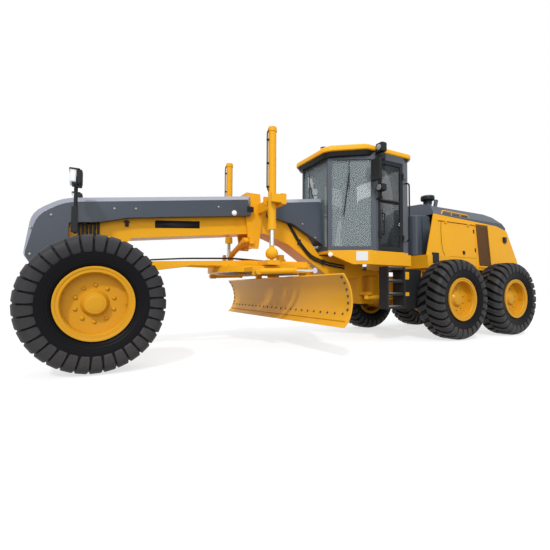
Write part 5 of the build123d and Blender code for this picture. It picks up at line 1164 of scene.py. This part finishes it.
class GRADER_OT_step_trim(PieceOperator):
    """Blank plates and reflectors of the steps"""

    bl_idname = "grader.step_trim"
    bl_label = "Step trim"

    def make(self, colours, sizes):
        """Plates on the outer face of the box behind the ladder."""
        plates = [
            rounded_box((-0.745, 0.8365, z), (0.080, 0.003, half), 0.12)
            for z, half in ((1.06, 0.062), (0.755, 0.030))
        ]
        build("step_plates", both(joined(*plates)), "pale_yellow", "rear")
        treads = [block((-0.572, 0.800, z), (-0.248, 0.945, z + 0.006)) for z in (0.565, 0.770, 0.975, 1.180)]
        spots = [
            (x, y, z)
            for z in (0.571, 0.776, 0.981, 1.186)
            for x in np.linspace(-0.55, -0.27, 9)
            for y in (0.83, 0.87, 0.91)
        ]
        studs = bolts(spots, UP, 0.012)
        build("step_treads", both(joined(*treads, studs)), "bolt_steel", "rear", smooth=False)
        red = rounded_box((-1.06, 0.8365, 0.60), (0.030, 0.004, 0.030), 0.2)
        # The red lens finish glows faintly; on these reflectors, which are no lamps, the glow is painted light.
        build("reflectors", both(red), "red_lens", "rear")


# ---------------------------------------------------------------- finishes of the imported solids

NODE_FINISHES = (  # start of a node's name, finish
    # The rims take the darker rim yellow, painted shade.
    ("tyre", "rubber"), ("rim", "shaded_rim_yellow"), ("frame_covers", "grey"), ("cab_frame", "grey"),
    ("cab_floor", "yellow"), ("cab_roof", "yellow"), ("cab_glass", "pane"), ("cab_interior", "soft_trim"),
    ("cab_door", "black"), ("lamps_and_mirrors", "black"), ("steps", "black"), ("engine_door", "yellow"),
    ("engine", "black"), ("hood_grilles", "brown"), ("hood_top", "grey"), ("tank", "grey"),
    ("moldboard", "pale_yellow"), ("hood", "yellow"),
    ("lean_rod", "steel"), ("steering_rod", "steel"), ("lift_rods", "steel"), ("shift_rod", "steel"),
    ("tip_rods", "steel"), ("articulation_rod", "steel"),
)


SOFTENED = (  # solid, bevel, finish, body, slot
    ("front_frame", 0.006, "yellow", "front", "yellow_paint"),
    ("cab_frame", 0.008, "grey", "front", "grey_paint"),
    ("cab_floor", 0.010, "yellow", "front", "yellow_paint"),
    ("rear_frame", 0.006, "yellow", "rear", "yellow_paint"),
    ("hood", 0.012, "yellow", "rear", "yellow_paint"),
    ("hood_top", 0.030, "grey", "rear", "grey_paint"),
    ("tank", 0.030, "grey", "rear", "grey_paint"),
    ("tandem_left", 0.010, "yellow", "tandem_left", "yellow_paint"),
    ("tandem_right", 0.010, "yellow", "tandem_right", "yellow_paint"),
    ("drawbar", 0.006, "yellow", "drawbar", "yellow_paint"),
    ("engine_door_left", 0.005, "yellow", "engine_door_left", "yellow_paint"),
    ("engine_door_right", 0.005, "yellow", "engine_door_right", "yellow_paint"),
)


class GRADER_OT_softened(PieceOperator):
    """Rounded edges on the large plates"""

    bl_idname = "grader.softened"
    bl_label = "Rounded edges"

    def make(self, colours, sizes):
        """One rounded copy for each solid in the table."""
        for row in SOFTENED:
            softened(*row)


class GRADER_OT_paint(PieceOperator):
    """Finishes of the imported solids"""

    bl_idname = "grader.paint"
    bl_label = "Paint"

    def make(self, colours, sizes):
        """The first matching start of a node's name gives its finish; the rest are yellow."""
        for name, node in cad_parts.items():
            chosen = next((look for start, look in NODE_FINISHES if name.startswith(start)), "yellow")
            if not node.material_slots:
                node.data.materials.append(finish(chosen))
            for place in node.material_slots:
                packed = place.material.name if place.material else ""
                place.material = finish("pane" if "glass" in packed else chosen)


# ---------------------------------------------------------------- stage

def seen_rays(nodes, links):
    """1 for rays that see the background, straight, in metal or through glass, and 0 for those that light."""
    path = nodes.new("ShaderNodeLightPath")
    total = path.outputs["Is Camera Ray"]
    for label in ("Is Glossy Ray", "Is Transmission Ray"):
        larger = nodes.new("ShaderNodeMath")
        larger.operation = "MAXIMUM"
        links.new(total, larger.inputs[0])
        links.new(path.outputs[label], larger.inputs[1])
        total = larger.outputs[0]
    return total


LENS = 23.71
CAMERA_PLACE, CAMERA_HEADING = (3.970, 5.103, 0.808), (-0.470, -0.883, 0.0)
CAMERA_PITCH, CAMERA_ROLL = 2.43, 0.25
LIGHTS = (  # name, kind, place, aim, power, size
    ("sun", "SUN", (7, 9, 12), (0, 0, 1), 1.65, 0.10),
    ("side", "AREA", (6, 11, 6), (0.5, 0, 1.2), 330, 7.0),
    ("top", "AREA", (0, 1, 10), (0, 0, 1), 230, 9.0),
)
FLOOR_HALF, FLOOR_Z = 60.0, -0.002


class GRADER_OT_stage(PieceOperator):
    """Camera, lights, floor and background"""

    bl_idname = "grader.stage"
    bl_label = "Stage"

    def make(self, colours, sizes):
        """A wide lens low by the front left wheel, soft light from above, and a white surround."""
        scene = bpy.context.scene
        camera_data = bpy.data.cameras.new("camera")
        camera_data.sensor_width = 36.0
        camera_data.lens = LENS
        camera_data.clip_end = 200.0
        camera = bpy.data.objects.new("camera", camera_data)
        scene.collection.objects.link(camera)
        pitch = np.radians(CAMERA_PITCH)
        plan = np.array(CAMERA_HEADING)
        plan /= np.linalg.norm(plan)
        forward = np.cos(pitch) * plan + np.array((0, 0, np.sin(pitch)))
        right = np.array((plan[1], -plan[0], 0.0))
        up = np.cross(right, forward)
        turn = Matrix(np.column_stack((right, up, -forward)).tolist()).to_4x4()
        roll = Matrix.Rotation(np.radians(CAMERA_ROLL), 4, "Z")
        camera.matrix_world = Matrix.Translation(CAMERA_PLACE) @ turn @ roll
        scene.camera = camera
        scene.view_settings.view_transform = "Standard"

        world = bpy.data.worlds.new("surround")
        scene.world = world
        world.use_nodes = True
        nodes, links = world.node_tree.nodes, world.node_tree.links
        nodes.clear()
        out = nodes.new("ShaderNodeOutputWorld")
        lit, seen = nodes.new("ShaderNodeBackground"), nodes.new("ShaderNodeBackground")
        mix = nodes.new("ShaderNodeMixShader")
        set_inputs(lit, Color=(0.93, 0.96, 1.0, 1.0), Strength=0.80)
        set_inputs(seen, Color=(1.0, 1.0, 1.0, 1.0), Strength=1.0)
        links.new(seen_rays(nodes, links), mix.inputs[0])
        links.new(lit.outputs[0], mix.inputs[1])
        links.new(seen.outputs[0], mix.inputs[2])
        links.new(mix.outputs[0], out.inputs["Surface"])

        for name, kind, place, aim, power, size in LIGHTS:
            data = bpy.data.lights.new(name, kind)
            data.energy = power
            if kind == "SUN":
                data.angle = size
            else:
                data.size = size
            lamp = bpy.data.objects.new(name, data)
            lamp.location = place
            lamp.rotation_euler = (Vector(aim) - Vector(place)).to_track_quat("-Z", "Y").to_euler()
            scene.collection.objects.link(lamp)

        corners = [(x * FLOOR_HALF, y * FLOOR_HALF, FLOOR_Z) for x, y in ((-1, -1), (1, -1), (1, 1), (-1, 1))]
        mesh = bpy.data.meshes.new("floor")
        mesh.from_pydata(corners, [], [(0, 1, 2, 3)])
        floor = bpy.data.objects.new("floor", mesh)
        scene.collection.objects.link(floor)
        pale = bpy.data.materials.new("pale_floor")
        pale.use_nodes = True
        shader = pale.node_tree.nodes["Principled BSDF"]
        set_inputs(shader, Base_Color=(0.34, 0.34, 0.34, 1.0), Roughness=0.9, Specular_IOR_Level=0.1)
        set_inputs(shader, Emission_Color=(1.0, 1.0, 1.0, 1.0))
        floor_links = pale.node_tree.links
        glow = pale.node_tree.nodes.new("ShaderNodeMath")
        glow.operation = "MULTIPLY"
        glow.inputs[1].default_value = 0.68
        floor_links.new(seen_rays(pale.node_tree.nodes, floor_links), glow.inputs[0])
        floor_links.new(glow.outputs[0], shader.inputs["Emission Strength"])
        mesh.materials.append(pale)


class GRADER_PT_panel(bpy.types.Panel):
    """Sizes and colours in the sidebar"""

    bl_label = "Grader"
    bl_idname = "GRADER_PT_panel"
    bl_space_type = "VIEW_3D"
    bl_region_type = "UI"
    bl_category = "Grader"

    def draw(self, context):
        """A row for each setting and a button for each operator."""
        layout = self.layout
        for group in (context.scene.grader_sizes, context.scene.grader_colours):
            for name in group.__annotations__:
                layout.prop(group, name)
        for operator in OPERATORS:
            layout.operator(operator.bl_idname)


OPERATORS = (
    GRADER_OT_stage, GRADER_OT_paint, GRADER_OT_softened, GRADER_OT_tyres, GRADER_OT_rim_trim, GRADER_OT_roof,
    GRADER_OT_cab_trim, GRADER_OT_seat, GRADER_OT_hood_trim, GRADER_OT_front_trim, GRADER_OT_lift_trim,
    GRADER_OT_blade_trim,
    GRADER_OT_circle_trim, GRADER_OT_step_trim,
)
CLASSES = (GraderColours, GraderSizes, *OPERATORS, GRADER_PT_panel)


def register():
    """Registers the classes and puts the settings on the scene."""
    for item in CLASSES:
        bpy.utils.register_class(item)
    bpy.types.Scene.grader_colours = PointerProperty(type=GraderColours)
    bpy.types.Scene.grader_sizes = PointerProperty(type=GraderSizes)


def unregister():
    """Takes the settings and classes away again."""
    del bpy.types.Scene.grader_colours
    del bpy.types.Scene.grader_sizes
    for item in reversed(CLASSES):
        bpy.utils.unregister_class(item)


def main():
    """Makes everything in order."""
    register()
    for operator in OPERATORS:
        area, name = operator.bl_idname.split(".")
        getattr(getattr(bpy.ops, area), name)()


if __name__ == "__main__":
    main()
